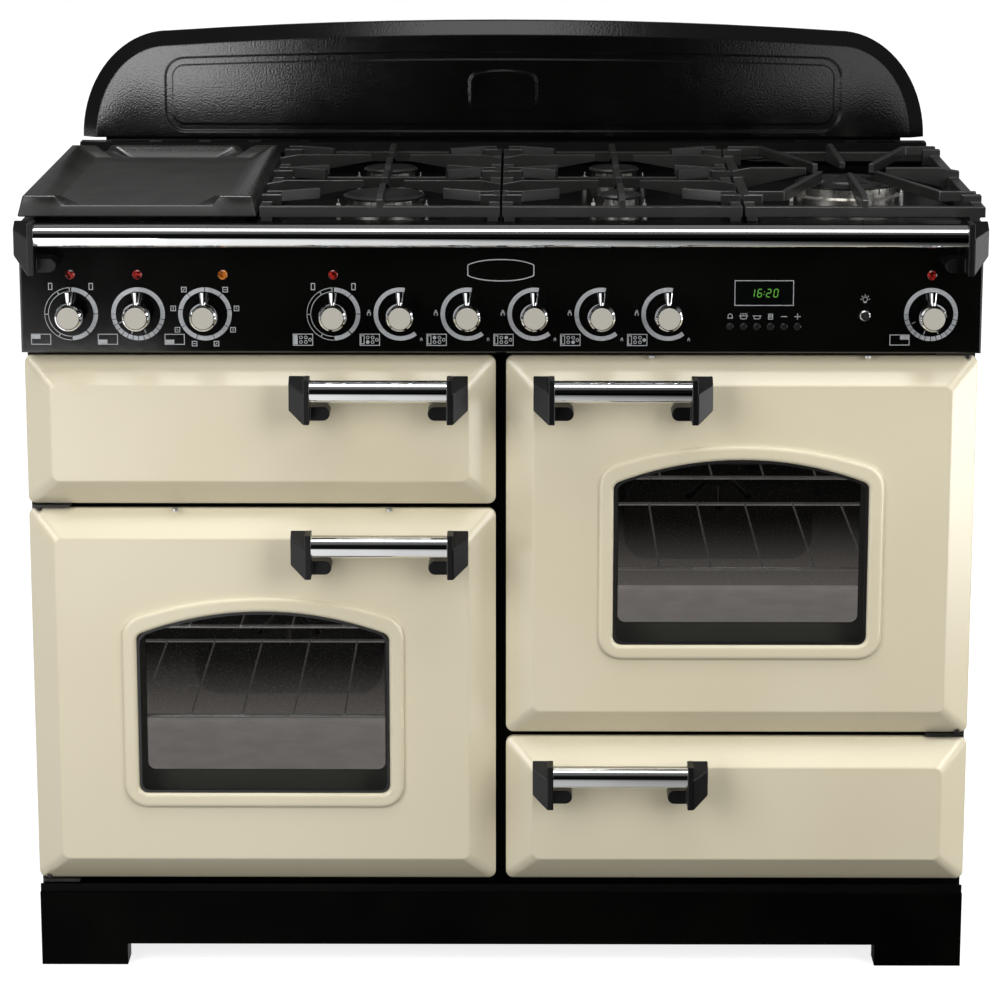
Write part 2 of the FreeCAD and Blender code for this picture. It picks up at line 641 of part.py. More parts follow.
def rear_panel():
    """The rear sheet with rows of cooling slots, and the cover of the cable terminals."""
    front = BODY_DEPTH - SHEET
    outside = BODY_DEPTH + REAR_FITTINGS
    sheet = block(-HALF, HALF, front, BODY_DEPTH, PLINTH_HEIGHT, PANEL_TOP)
    holes = [rod_y(INLET_X, front, BODY_DEPTH, KNOB_Z, GAS_RAIL_R + SHAFT_CLEAR)]
    for row in range(VENT_ROW_COUNT):
        z = VENT_ROW_Z + row * VENT_ROW_PITCH
        for slot in range(VENT_SLOTS):
            x = (slot - (VENT_SLOTS - 1) / 2) * VENT_SLOT_PITCH
            holes.append(mouth(x, z, VENT_SLOT_LENGTH, VENT_SLOT_HEIGHT, front, BODY_DEPTH))
    cover = mouth(TERMINAL_X, TERMINAL_Z, TERMINAL_WIDTH, TERMINAL_HEIGHT, BODY_DEPTH, outside)
    cover = cover.makeFillet(SHEET * 2, edges_at_depth(cover, outside))
    hollow = mouth(TERMINAL_X, TERMINAL_Z + SHEET, TERMINAL_WIDTH - 2 * SHEET, TERMINAL_HEIGHT - 2 * SHEET,
                   BODY_DEPTH, outside - SHEET)
    middle_z = TERMINAL_Z + TERMINAL_HEIGHT / 2
    boss = rod_y(TERMINAL_X, BODY_DEPTH, outside, middle_z, CABLE_BOSS_R)
    cover = cover.cut(hollow).fuse(boss).removeSplitter()
    bore = rod_y(TERMINAL_X, front, outside, middle_z, CABLE_R)
    return group([sheet.cut(group(holes + [bore])), cover.cut(bore)])


def plinth():
    """A folded kick plate: two end blocks near the floor and a raised middle with a lip."""
    half = HALF - PLINTH_SIDE_GAP
    front = PLINTH_SETBACK
    inner = half - PLINTH_END
    outline = [(-half, PLINTH_FLOOR_GAP), (-inner, PLINTH_FLOOR_GAP), (-inner, PLINTH_CLEAR),
               (inner, PLINTH_CLEAR), (inner, PLINTH_FLOOR_GAP), (half, PLINTH_FLOOR_GAP),
               (half, PLINTH_HEIGHT), (-half, PLINTH_HEIGHT)]
    face = front_slab(outline, front, front + SHEET)
    lip = block(-inner, inner, front, front + PLINTH_LIP, PLINTH_CLEAR - PLINTH_LIP, PLINTH_CLEAR)
    pieces = [face, lip]
    for x in (-half, -inner - SHEET, inner, half - SHEET):
        pieces.append(block(x, x + SHEET, front, FRAME_DEPTH, PLINTH_FLOOR_GAP, PLINTH_HEIGHT))
    return fuse_all(pieces)


def hexagon(radius):
    angles = [math.radians(60 * step) for step in range(6)]
    return [(radius * math.cos(angle), radius * math.sin(angle)) for angle in angles]


def stud(x, depth):
    """The hexagon stem of a levelling foot."""
    return plan_slab([(x + u, depth + v) for u, v in hexagon(FOOT_STUD_R)], 0, PLINTH_HEIGHT)


def levelling_feet():
    """Four screw feet with round pads, up to the base tray."""
    feet = []
    for x in (FOOT_INSET - HALF, HALF - FOOT_INSET):
        for depth in (FRAME_DEPTH + FOOT_INSET, BODY_DEPTH - FOOT_INSET):
            pad = Part.makeCone(FOOT_PAD_R, FOOT_PAD_R / 2, FOOT_PAD_HEIGHT, at(x, depth, 0))
            feet.append(pad.fuse(stud(x, depth)))
    return group(feet)


def open_box(middle, z, width, height, d0, d1):
    """A sheet box that is open at the front."""
    outer = mouth(middle, z - SHEET, width + 2 * SHEET, height + 2 * SHEET, d0, d1 + SHEET)
    return outer.cut(mouth(middle, z, width, height, d0, d1))


def spokes(x, z, count, inner, outer, width, d0, d1):
    """Flat radial strips round an axis that runs front to back."""
    strips = []
    for step in range(count):
        strip = block(x + inner, x + outer, d0, d1, z - width / 2, z + width / 2)
        strips.append(strip.rotate(at(x, 0, z), V(0, 1, 0), 360 * step / count))
    return strips


def oven_liner(side, bottom):
    """An oven box with shelf ribs, and its door seal, fan cover and fan motor."""
    middle = side * COLUMN_X
    z = oven_floor(bottom)
    axis_z = z + OVEN_HEIGHT / 2
    box = open_box(middle, z, OVEN_WIDTH, OVEN_HEIGHT, FRAME_BACK, OVEN_BACK)
    ribs = []
    for level in RIB_LEVELS:
        for wall in (-1, 1):
            ends = sorted((wall * OVEN_WIDTH / 2, wall * (OVEN_WIDTH / 2 - RIB)))
            ribs.append(block(middle + ends[0], middle + ends[1], FRAME_BACK + FLANGE, OVEN_BACK - RING_R,
                              z + level - RIB_HEIGHT, z + level))
    box = fuse_all([box] + ribs)
    box = box.cut(rod_y(middle, OVEN_BACK, OVEN_BACK + SHEET, axis_z, FAN_SHAFT_R + SHAFT_CLEAR))
    cover_half = RING_R + FAN_COVER_MARGIN
    front = FAN_FRONT - FAN_COVER_GAP - SHEET
    cover = rounded_slab(middle - cover_half, middle + cover_half, axis_z - cover_half, axis_z + cover_half,
                         FAN_COVER_MARGIN, front, OVEN_BACK)
    inside = cover_half - SHEET
    cover = cover.cut(rounded_slab(middle - inside, middle + inside, axis_z - inside, axis_z + inside,
                                   FAN_COVER_MARGIN, front + SHEET, OVEN_BACK))
    cover = cover.cut(group(spokes(middle, axis_z, COVER_SLOTS, COVER_SLOT_INNER_R, COVER_SLOT_OUTER_R,
                                   COVER_SLOT_WIDTH, front, front + SHEET)))
    wall_back = OVEN_BACK + SHEET
    motor = rod_y(middle, wall_back, wall_back + MOTOR_LENGTH, axis_z, MOTOR_R)
    bore_back = wall_back + SHAFT_IN_MOTOR + SHEET
    motor = motor.cut(rod_y(middle, wall_back, bore_back, axis_z, FAN_SHAFT_R + FIT))
    seal_front = FRONT_BACK + SHEET + SEAL_GAP
    seal = mouth(middle, z - SEAL, OVEN_WIDTH + 2 * SEAL, OVEN_HEIGHT + 2 * SEAL, seal_front, FRAME_DEPTH)
    seal = seal.cut(mouth(middle, z, OVEN_WIDTH, OVEN_HEIGHT, seal_front, FRAME_DEPTH))
    return group([box, cover, motor, seal])


def fan(side, bottom):
    """A radial fan: backplate, straight blades and a shaft into the motor."""
    middle = side * COLUMN_X
    axis_z = oven_floor(bottom) + OVEN_HEIGHT / 2
    back = FAN_FRONT + FAN_DEPTH
    hub_r = FAN_SHAFT_R * 3
    hub = rod_y(middle, FAN_FRONT, back, axis_z, hub_r)
    plate = rod_y(middle, back - SHEET, back, axis_z, FAN_R - hub_r)
    shaft = rod_y(middle, FAN_FRONT, OVEN_BACK + SHEET + SHAFT_IN_MOTOR, axis_z, FAN_SHAFT_R)
    blades = spokes(middle, axis_z, FAN_BLADES, hub_r / 2, FAN_R, SHEET, FAN_FRONT, back)
    return fuse_all([hub, plate, shaft] + blades)


def wire_rack(middle, half_width, d0, d1, z):
    """A welded rack, as a flat frame with slots between its bars."""
    rack = block(middle - half_width - WIRE_R, middle + half_width + WIRE_R, d0, d1, z - WIRE_R, z + WIRE_R)
    pitch = 2 * half_width / (SHELF_WIRES + 1)
    slots = []
    for gap in range(SHELF_WIRES + 1):
        start = middle - half_width + gap * pitch
        slots.append(block(start + THIN_WIRE_R, start + pitch - THIN_WIRE_R, d0 + 2 * WIRE_R,
                           d1 - 2 * WIRE_R, z - WIRE_R, z + WIRE_R))
    return rack.cut(group(slots))


def oven_shelves():
    """Two wire shelves in each oven, on the ribs."""
    shelves = []
    for side, bottom in OVENS:
        for level in RIB_LEVELS:
            z = oven_floor(bottom) + level + WIRE_R + SLACK
            shelves.append(wire_rack(side * COLUMN_X, OVEN_WIDTH / 2 - RIB / 2, FRAME_BACK + FLANGE,
                                     OVEN_BACK - RING_R, z))
    return group(shelves)


def grill_liner():
    return open_box(-COLUMN_X, GRILL_FLOOR, GRILL_WIDTH, GRILL_HEIGHT, FRAME_BACK, FRAME_BACK + GRILL_DEPTH)


def grill_element():
    """A serpentine heating strip clipped under the grill roof."""
    z = GRILL_FLOOR + GRILL_HEIGHT - ELEMENT_R - SLACK
    near = FRAME_BACK + GRILL_ELEMENT_SETBACK
    far = FRAME_BACK + GRILL_DEPTH - GRILL_ELEMENT_SETBACK
    pieces = []
    for run in range(GRILL_LOOPS):
        x = -COLUMN_X + (run - (GRILL_LOOPS - 1) / 2) * GRILL_ELEMENT_PITCH
        tail = FRAME_BACK + GRILL_DEPTH if run in (0, GRILL_LOOPS - 1) else far
        pieces.append(block(x - ELEMENT_R, x + ELEMENT_R, near, tail, z - ELEMENT_R, z + ELEMENT_R))
        if run < GRILL_LOOPS - 1:
            turn = near if run % 2 == 0 else far - 2 * ELEMENT_R
            pieces.append(block(x, x + GRILL_ELEMENT_PITCH, turn, turn + 2 * ELEMENT_R, z - ELEMENT_R,
                                z + ELEMENT_R))
    return fuse_all(pieces)


def heating_elements():
    """The grill rod, and a ring element round each fan with its two tails to the rear wall."""
    elements = [grill_element()]
    ring_depth = FAN_FRONT + FAN_DEPTH / 2
    for side, bottom in OVENS:
        middle = side * COLUMN_X
        axis_z = oven_floor(bottom) + OVEN_HEIGHT / 2
        section = block(middle + RING_R - ELEMENT_R, middle + RING_R + ELEMENT_R, ring_depth - ELEMENT_R,
                        ring_depth + ELEMENT_R, axis_z, axis_z + ELEMENT_R).Faces
        flat = [f for f in section if abs(f.CenterOfMass.z - axis_z) < ELEMENT_R / 4][0]
        ring = flat.revolve(at(middle, 0, axis_z), V(0, 1, 0), 360)
        tails = [mouth(middle + s * RING_R, axis_z - ELEMENT_R, ELEMENT_R, 2 * ELEMENT_R, ring_depth,
                       OVEN_BACK) for s in (-1, 1)]
        elements.append(fuse_all([ring] + tails))
    return group(elements)


def sliding_box(middle, half, bottom, z, height, depth, runner_z):
    """A sheet box open at the top, with a plate against its front and a flange along each side."""
    half_plate = COLUMN_WIDTH / 2 - LINER_INSET
    back = FRONT_BACK + SHEET
    plate = block(middle - half_plate, middle + half_plate, FRONT_BACK, back, bottom + LINER_INSET,
                  bottom + LOW_FRONT - LINER_INSET)
    tray = block(middle - half, middle + half, back, back + depth, z, z + height)
    tray = tray.cut(block(middle - half + SHEET, middle + half - SHEET, back, back + depth - SHEET,
                          z + SHEET, z + height))
    flange_z = runner_z + SLACK
    flanges = [block(*sorted((middle + s * half, middle + s * (half + RUNNER_OVERLAP))), FRAME_BACK,
                     back + depth, flange_z, flange_z + SHEET) for s in (-1, 1)]
    return fuse_all([plate, tray] + flanges)


def grill_pan():
    return sliding_box(-COLUMN_X, PAN_HALF, GRILL_BOTTOM, PAN_FLOOR, PAN_HEIGHT, PAN_DEPTH, PAN_RUNNER_Z)


def grill_trivet():
    """The wire rack that lies on the rim of the grill pan."""
    front = FRONT_BACK + SHEET
    return wire_rack(-COLUMN_X, PAN_HALF - SHEET / 2, FRAME_BACK + FLANGE, front + PAN_DEPTH - SHEET,
                     PAN_FLOOR + PAN_HEIGHT + WIRE_R + SLACK)


def drawer_box():
    return sliding_box(COLUMN_X, DRAWER_HALF, FRONTS_BOTTOM, DRAWER_BOX_FLOOR, DRAWER_BOX_HEIGHT,
                       DRAWER_DEPTH, DRAWER_RUNNER_Z)


def runners():
    """Rails under the flanges of the grill pan and of the drawer box."""
    rails = []
    for s in (-1, 1):
        wall = -COLUMN_X + s * GRILL_WIDTH / 2
        ends = sorted((wall, wall - s * (PAN_SIDE_GAP - RUNNER_CLEAR)))
        rails.append(block(*ends, FRAME_BACK, FRAME_BACK + GRILL_DEPTH, PAN_RUNNER_Z - RUNNER_HEIGHT,
                           PAN_RUNNER_Z))
        edge = COLUMN_X + s * DRAWER_WIDTH / 2
        outer = edge + s * FLANGE
        ends = sorted((outer, edge - s * (DRAWER_SIDE_GAP - RUNNER_CLEAR)))
        rail = block(*ends, FRAME_BACK, FRAME_BACK + DRAWER_DEPTH, DRAWER_RUNNER_Z - RUNNER_HEIGHT,
                     DRAWER_RUNNER_Z)
        foot = block(*sorted((outer, edge)), FRAME_BACK, FRAME_BACK + SHEET, DRAWER_RUNNER_Z - 2 * FLANGE,
                     DRAWER_RUNNER_Z)
        rails.append(fuse_all([rail, foot]))
    return group(rails)


def door_hinges():
    """A plate with a pin above and below each oven door, fixed to the front frame."""
    hinges = []
    for side, bottom in OVENS:
        edge = side * HALF
        pin_x = edge - side * PIN_FROM_EDGE
        top = bottom + TALL_FRONT
        top_gap = FRONT_GAP if top < FRONTS_TOP else PANEL_GAP
        ends = sorted((edge - side * LINER_INSET, edge - side * (LINER_INSET + HINGE_PLATE_WIDTH)))
        for level, way in ((bottom - FRONT_GAP / 2, 1), (top + top_gap / 2, -1)):
            plate = block(*ends, PIN_DEPTH - 2 * PIN_R, FRAME_DEPTH, level - HINGE_PLATE / 2,
                          level + HINGE_PLATE / 2)
            plate = plate.makeFillet(PIN_R, edges_along(plate, V(0, 0, 1))[:1])
            reach = FRONT_GAP / 2 + PIN_REACH
            span = sorted((level, level + way * reach))
            hinges.append(plate.fuse(rod_z(pin_x, PIN_DEPTH, *span, PIN_R)))
    return group(hinges)


def knob(x):
    """A domed metal knob with a flared pointer peg on top and its spindle behind."""
    z = KNOB_Z
    shoulder = KNOB_DOME - KNOB_REACH
    brow = at(x + KNOB_BROW_R, KNOB_BROW - KNOB_REACH, z)
    base = at(x + KNOB_R, -KNOB_GAP, z)
    side = at(x + KNOB_R, shoulder, z)
    rim = at(x + KNOB_FACE_R, -KNOB_REACH, z)
    tip = at(x, -KNOB_REACH, z)
    root = at(x, -KNOB_GAP, z)
    section = Part.Face(Part.Wire([line(root, base), line(base, side), line(side, brow), line(brow, rim),
                                   line(rim, tip), line(tip, root)]))
    body = section.revolve(at(x, 0, z), V(0, 1, 0), 360)
    pointer = Part.makeCone(POINTER_ROOT_R, POINTER_TIP_R, POINTER_TIP - POINTER_ROOT,
                            at(x, POINTER_DEPTH - KNOB_REACH, z + POINTER_ROOT), V(0, 0, 1))
    spindle = rod_y(x, -KNOB_GAP, SPINDLE_REACH, z, SPINDLE_R)
    return fuse_all([body, pointer, spindle])


def control_panel():
    """A pressed fascia, open at the back, pierced for the controls."""
    shell = block(-HALF, HALF, 0, FRAME_DEPTH - SHEET, PANEL_BOTTOM, PANEL_TOP)
    shell = shell.makeChamfer(SHEET, edges_at_depth(shell, 0))
    shell = shell.cut(block(SHEET - HALF, HALF - SHEET, SHEET, FRAME_DEPTH, PANEL_BOTTOM + SHEET,
                            PANEL_TOP - SHEET))
    knobs = [*ELECTRIC_KNOBS.values(), *GAS_KNOBS.values()]
    holes = [rod_y(x, 0, SHEET, KNOB_Z, SPINDLE_R + SHAFT_CLEAR) for x in knobs]
    holes += [rod_y(x, 0, SHEET, TIMER_Z, TIMER_R + SLACK) for x in TIMERS]
    holes.append(rod_y(LIGHT_X, 0, SHEET, LIGHT_Z, LIGHT_R + SLACK))
    holes.append(mouth(CLOCK_X, CLOCK_Z - CLOCK_HEIGHT / 2 - SLACK, CLOCK_WIDTH + 2 * SLACK,
                       CLOCK_HEIGHT + 2 * SLACK, 0, SHEET))
    return shell.cut(group(holes))


def lens(x):
    """A neon lens, on the face of the panel."""
    button = rod_y(x, -LENS_PROUD, 0, LENS_Z, LENS_R)
    return button.makeChamfer(LENS_PROUD / 2, edges_at_depth(button, -LENS_PROUD))


def clock():
    """The clock window, its flange behind the panel and the timer module."""
    low = CLOCK_Z - CLOCK_HEIGHT / 2
    module_front = SHEET + BUTTON_STEM + BUTTON_TRAVEL
    window = mouth(CLOCK_X, low, CLOCK_WIDTH, CLOCK_HEIGHT, -SLACK, module_front)
    flange = mouth(CLOCK_X, low - CLOCK_FLANGE, CLOCK_WIDTH + 2 * CLOCK_FLANGE,
                   CLOCK_HEIGHT + 2 * CLOCK_FLANGE, SHEET, SHEET + CLOCK_FLANGE)
    module_low = TIMER_Z - TIMER_PITCH / 2
    module = mouth(CLOCK_X, module_low, TIMER_BUTTONS * TIMER_PITCH, low + CLOCK_HEIGHT - module_low,
                   module_front, module_front + CLOCK_DEPTH)
    return fuse_all([window, flange, module])


def panel_fittings():
    """The five lamps, the clock, and the bezel of the light button."""
    bezel = rod_y(LIGHT_X, -BEZEL_PROUD, 0, LIGHT_Z, BEZEL_R)
    bezel = bezel.cut(rod_y(LIGHT_X, -BEZEL_PROUD, 0, LIGHT_Z, LIGHT_R + SLACK))
    return group([lens(x) for x in LENSES] + [clock(), bezel])


def push_button(x, z, radius, proud):
    """A round button with a square collar that keeps it behind the panel."""
    cap = rod_y(x, -proud, SHEET + BUTTON_STEM, z, radius)
    cap = cap.makeChamfer(radius / 5, edges_at_depth(cap, -proud))
    collar = radius + CLOCK_FLANGE / 2
    return cap.fuse(mouth(x, z - collar, 2 * collar, 2 * collar, SHEET + SLACK, SHEET + BUTTON_STEM))


def taps_and_switches():
    """Gas taps on their rail with the rear inlet, and a rotary switch behind each electric knob."""
    tap_back = SHEET + TAP_DEPTH
    rail_depth = tap_back + GAS_RAIL_R - SHEET
    nut_front = BODY_DEPTH
    nut_back = BODY_DEPTH + REAR_FITTINGS
    taps = [*GAS_KNOBS.values()]
    gas = [mouth(x, KNOB_Z - TAP_HEIGHT / 2, TAP_WIDTH, TAP_HEIGHT, SHEET, tap_back) for x in taps]
    gas.append(rod_x(min(taps) - TAP_WIDTH / 2, max(taps) + TAP_WIDTH / 2, rail_depth, KNOB_Z, GAS_RAIL_R))
    gas.append(mouth(INLET_X, KNOB_Z - INLET_R, 2 * INLET_R, 2 * INLET_R, rail_depth - INLET_R,
                     rail_depth + INLET_R))
    gas.append(rod_y(INLET_X, rail_depth, nut_back, KNOB_Z, GAS_RAIL_R))
    gas.append(front_slab([(INLET_X + u, KNOB_Z + v) for u, v in hexagon(INLET_R)], nut_front, nut_back))
    bores = [rod_y(x, SHEET, SPINDLE_BORE, KNOB_Z, SPINDLE_R + FIT) for x in taps]
    bores.append(rod_y(INLET_X, nut_back - INLET_BORE_DEPTH, nut_back, KNOB_Z, INLET_BORE_R))
    pieces = [fuse_all(gas).cut(group(bores))]
    for x in ELECTRIC_KNOBS.values():
        switch = mouth(x, KNOB_Z - TAP_WIDTH / 2, TAP_WIDTH, TAP_WIDTH, SHEET, tap_back)
        pieces.append(switch.cut(rod_y(x, SHEET, SPINDLE_BORE, KNOB_Z, SPINDLE_R + FIT)))
    return group(pieces)


def well(x0, x1, grow, z0, z1):
    """A rounded recess in the hob tray, grown by some millimetres."""
    tub = block(max(x0, -HALF) + WELL_MARGIN - grow, min(x1, HALF) - WELL_MARGIN + grow,
                GRID_SETBACK + WELL_MARGIN - grow, GRID_BACK - WELL_MARGIN + grow, z0, z1)
    return tub.makeFillet(WELL_CORNER_R + grow, edges_along(tub, V(0, 0, 1)))


def hob_tray():
    """The enamelled hob with a recess under each gas unit, and the louvred vent trim behind it."""
    shell = block(-HALF, HALF, TRAY_SETBACK, BODY_DEPTH, PANEL_TOP, HOB_TOP)
    rear = Y_FRONT + BODY_DEPTH
    rim = [e for e in shell.Edges if e.BoundBox.ZMin > HOB_TOP - SHEET and e.BoundBox.YMax < rear]
    shell = shell.makeFillet(WELL_DEPTH / 2, rim)
    shell = shell.cut(block(SHEET - HALF, HALF - SHEET, TRAY_SETBACK + SHEET, BODY_DEPTH - SHEET, PANEL_TOP,
                            HOB_TOP - SHEET))
    tubs = [well(x0, x1, SHEET, WELL_FLOOR - SHEET, HOB_TOP) for x0, x1 in UNITS[1:]]
    shell = fuse_all([shell] + tubs)
    shell = shell.cut(group([well(x0, x1, 0, WELL_FLOOR, HOB_TOP) for x0, x1 in UNITS[1:]]))
    top = HOB_TOP + VENT_HEIGHT
    step = HOB_TOP + VENT_BACK_HEIGHT
    outline = [(VENT_FRONT, HOB_TOP), (VENT_FRONT, top - VENT_SLOPE), (VENT_FRONT + VENT_SLOPE, top),
               (VENT_STEP, top), (VENT_STEP, step), (BODY_DEPTH, step), (BODY_DEPTH, HOB_TOP)]
    hollow = [(VENT_FRONT + SHEET, HOB_TOP), (VENT_FRONT + SHEET, top - VENT_SLOPE),
              (VENT_FRONT + VENT_SLOPE, top - SHEET), (VENT_STEP - SHEET, top - SHEET),
              (VENT_STEP - SHEET, step - SHEET), (BODY_DEPTH - SHEET, step - SHEET),
              (BODY_DEPTH - SHEET, HOB_TOP)]
    vent = side_slab(outline, -SPLASH_WIDTH / 2, SPLASH_WIDTH / 2)
    vent = vent.cut(side_slab(hollow, SHEET - SPLASH_WIDTH / 2, SPLASH_WIDTH / 2 - SHEET))
    pitch = SPLASH_WIDTH / (LOUVRES + 1)
    slots = [block(x - LOUVRE_WIDTH / 2, x + LOUVRE_WIDTH / 2, VENT_FRONT + VENT_SLOPE + SHEET,
                   VENT_STEP - 2 * SHEET, top - SHEET, top)
             for x in [(place - (LOUVRES - 1) / 2) * pitch for place in range(LOUVRES)]]
    return group([shell, vent.cut(group(slots))])


def turned(x, depth, profile):
    """A turned piece about an upright axis, from (radius, z) points."""
    face = closed([at(x + r, depth, z) for r, z in profile])
    return face.revolve(at(x, depth, 0), V(0, 0, 1), 360)


def burner_crown(x, depth, radius, inner, slots):
    """A cast burner head with flame slots cut in its rim."""
    z = WELL_FLOOR
    waist = radius - (radius - inner) * BURNER_WAIST_SHARE
    head = turned(x, depth, [(inner, z), (radius, z), (radius, z + BURNER_FLANGE), (waist, z + BURNER_NECK),
                             (waist, BURNER_TOP), (inner, BURNER_TOP)])
    cuts = []
    for step in range(slots):
        slot = block(x + waist - BURNER_SLOT_DEPTH, x + radius, depth - BURNER_SLOT / 2,
                     depth + BURNER_SLOT / 2, BURNER_TOP - BURNER_SLOT_HEIGHT, BURNER_TOP)
        cuts.append(slot.rotate(at(x, depth, 0), V(0, 0, 1), 360 * step / slots))
    return head.cut(group(cuts))


def burner_cap(x, depth, radius, inner):
    z = BURNER_TOP
    return turned(x, depth, [(inner, z), (radius * CAP_SEAT_SHARE, z),
                             (radius * CAP_RIM_SHARE, z + CAP_THICK / 2),
                             (radius * CAP_TOP_SHARE, z + CAP_THICK), (inner, z + CAP_THICK)])


def burner_heads():
    heads = [burner_crown(x, depth, radius, CORE_R, BURNER_SLOTS) for x, depth, radius in BURNERS]
    heads.append(burner_crown(*WOK, WOK_R, WOK_INNER_R + WELL_MARGIN, 2 * BURNER_SLOTS))
    heads.append(burner_crown(*WOK, WOK_INNER_R, CORE_R, BURNER_SLOTS))
    return group(heads)


def burner_caps():
    caps = [burner_cap(x, depth, radius, 0) for x, depth, radius in BURNERS]
    caps.append(burner_cap(*WOK, WOK_R, WOK_INNER_R + WELL_MARGIN))
    caps.append(burner_cap(*WOK, WOK_INNER_R, 0))
    return group(caps)


def finger(root, tip, middle, across):
    """A tapering finger from the frame at root to its tip, along X or along the depth."""
    way = 1 if tip > root else -1
    outline = [(root, GRID_BASE), (root, GRID_TOP - FINGER_LIFT), (root + way * FINGER_ROOT, GRID_TOP),
               (tip, GRID_TOP), (tip, GRID_TOP - TIP_HEIGHT), (root + way * FINGER_ROOT, GRID_BASE)]
    if across:
        return front_slab(outline, middle - FINGER / 2, middle + FINGER / 2)
    return side_slab(outline, middle - FINGER / 2, middle + FINGER / 2)


def grid_frame(x0, x1):
    """The outer bars of a pan support, on four feet."""
    bars = [block(x0, x0 + GRID_BAR, GRID_SETBACK, GRID_BACK, GRID_BASE, GRID_DECK),
            block(x1 - GRID_BAR, x1, GRID_SETBACK, GRID_BACK, GRID_BASE, GRID_DECK),
            block(x0, x1, GRID_SETBACK, GRID_SETBACK + GRID_BAR, GRID_BASE, GRID_DECK),
            block(x0, x1, GRID_BACK - GRID_BAR, GRID_BACK, GRID_BASE, GRID_DECK)]
    low = max(x0, -HALF) + SHEET
    high = min(x1, HALF) - SHEET
    for x in (low, high - GRID_BAR):
        for depth in (GRID_SETBACK, GRID_BACK - GRID_BAR):
            bars.append(block(x, x + GRID_BAR, depth, depth + GRID_BAR, HOB_TOP, GRID_BASE))
    return bars


def strip(points, width, z0, z1):
    """An upright strip along a bent plan line of (x, depth) points."""
    pieces = []
    for (xa, da), (xb, db) in zip(points, points[1:]):
        length = math.hypot(xb - xa, db - da)
        piece = block(xa, xa + length, da - width / 2, da + width / 2, z0, z1)
        pieces.append(piece.rotate(at(xa, da, 0), V(0, 0, 1), math.degrees(math.atan2(db - da, xb - xa))))
    pieces += [rod_z(x, d, z0, z1, width / 2) for x, d in points[1:-1]]
    return fuse_all(pieces)


def bent_finger(edge, way, bend, depth, tip):
    """A finger on a root block at the frame's edge, which turns towards a burner."""
    route = [(edge + way * GRID_BAR / 2, depth), (edge + way * bend, depth), tip]
    root = block(*sorted((edge, edge + way * FINGER_ROOT)), depth - FINGER, depth + FINGER,
                 GRID_BASE, GRID_TOP - FINGER_LIFT)
    return [strip(route, FINGER, GRID_DECK, GRID_TOP), root]


def pan_support(x0, x1):
    """A cast grid for two burners: outer frame, a middle bar and fingers round each burner."""
    x = (x0 + x1) / 2
    middle = (FRONT_BURNER_DEPTH + REAR_BURNER_DEPTH) / 2
    pieces = grid_frame(x0, x1)
    pieces.append(block(x0, x1, middle - GRID_BAR / 2, middle + GRID_BAR / 2, GRID_BASE, GRID_DECK))
    pieces.append(finger(GRID_SETBACK, FRONT_BURNER_DEPTH - FINGER_TIP_R, x, False))
    pieces.append(finger(middle, FRONT_BURNER_DEPTH + FINGER_TIP_R, x, False))
    pieces.append(finger(middle, REAR_BURNER_DEPTH - FINGER_TIP_R, x, False))
    pieces.append(finger(GRID_BACK, REAR_BURNER_DEPTH + FINGER_TIP_R, x, False))
    for depth in (FRONT_BURNER_DEPTH, REAR_BURNER_DEPTH):
        pieces.append(finger(x0, x - FINGER_TIP_R, depth, True))
        pieces.append(finger(x1, x + FINGER_TIP_R, depth, True))
    for edge, way in ((x0, 1), (x1, -1)):
        for depth, turn in ((GRID_SETBACK + STUB_INSET, 1), (middle, -1), (middle, 1),
                            (GRID_BACK - STUB_INSET, -1)):
            tip = (edge + way * STUB, depth + turn * STUB_TURN)
            pieces += bent_finger(edge, way, FINGER_ROOT, depth, tip)
    return fuse_all(pieces)


def wok_support(x0, x1):
    """A cast grid for the large burner, with four straight and four bent fingers."""
    x, depth = WOK
    pieces = grid_frame(x0, x1)
    pieces.append(finger(x0, x - WOK_TIP_R, depth, True))
    pieces.append(finger(x1, x + WOK_TIP_R, depth, True))
    pieces.append(finger(GRID_SETBACK, depth - WOK_TIP_R, x, False))
    pieces.append(finger(GRID_BACK, depth + WOK_TIP_R, x, False))
    reach = WOK_TIP_R * math.sqrt(0.5)
    for edge, way in ((x0, 1), (x1, -1)):
        for corner, turn in ((GRID_SETBACK + STUB_INSET, 1), (GRID_BACK - STUB_INSET, -1)):
            tip = (x - way * reach, depth - turn * reach)
            pieces += bent_finger(edge, way, WOK_BEND, corner, tip)
    return fuse_all(pieces)


def griddle():
    """A cast griddle plate with a flared base, a raised rim on three sides and a low front."""
    x0, x1 = UNITS[0]
    front = GRID_SETBACK
    back = front + GRIDDLE_DEPTH
    z0 = HOB_TOP + HOTPLATE

    def ring(inset, z):
        points = [at(x0 + inset, front + inset, z), at(x1 - inset, front + inset, z),
                  at(x1 - inset, back - inset, z), at(x0 + inset, back - inset, z)]
        return Part.makePolygon(points + points[:1])

    body = Part.makeLoft([ring(GRIDDLE_FLARE, z0), ring(0, GRID_TOP)], True, True)
    floor = ring(GRIDDLE_WALL + GRIDDLE_SLOPE, z0 + GRIDDLE_FLOOR)
    pan = Part.makeLoft([floor, ring(GRIDDLE_WALL, GRID_TOP)], True, True)
    low = block(x0 + GRIDDLE_POST, x1 - GRIDDLE_POST, front, front + GRIDDLE_WALL + GRIDDLE_SLOPE,
                GRID_TOP - GRIDDLE_FRONT_CUT, GRID_TOP)
    spouts = [rod_y(x, back - GRIDDLE_WALL - GRIDDLE_SLOPE, back, GRID_TOP, SPOUT / 2)
              for x in (x0 + GRIDDLE_POST, x1 - GRIDDLE_POST)]
    return body.cut(group([pan, low] + spouts))


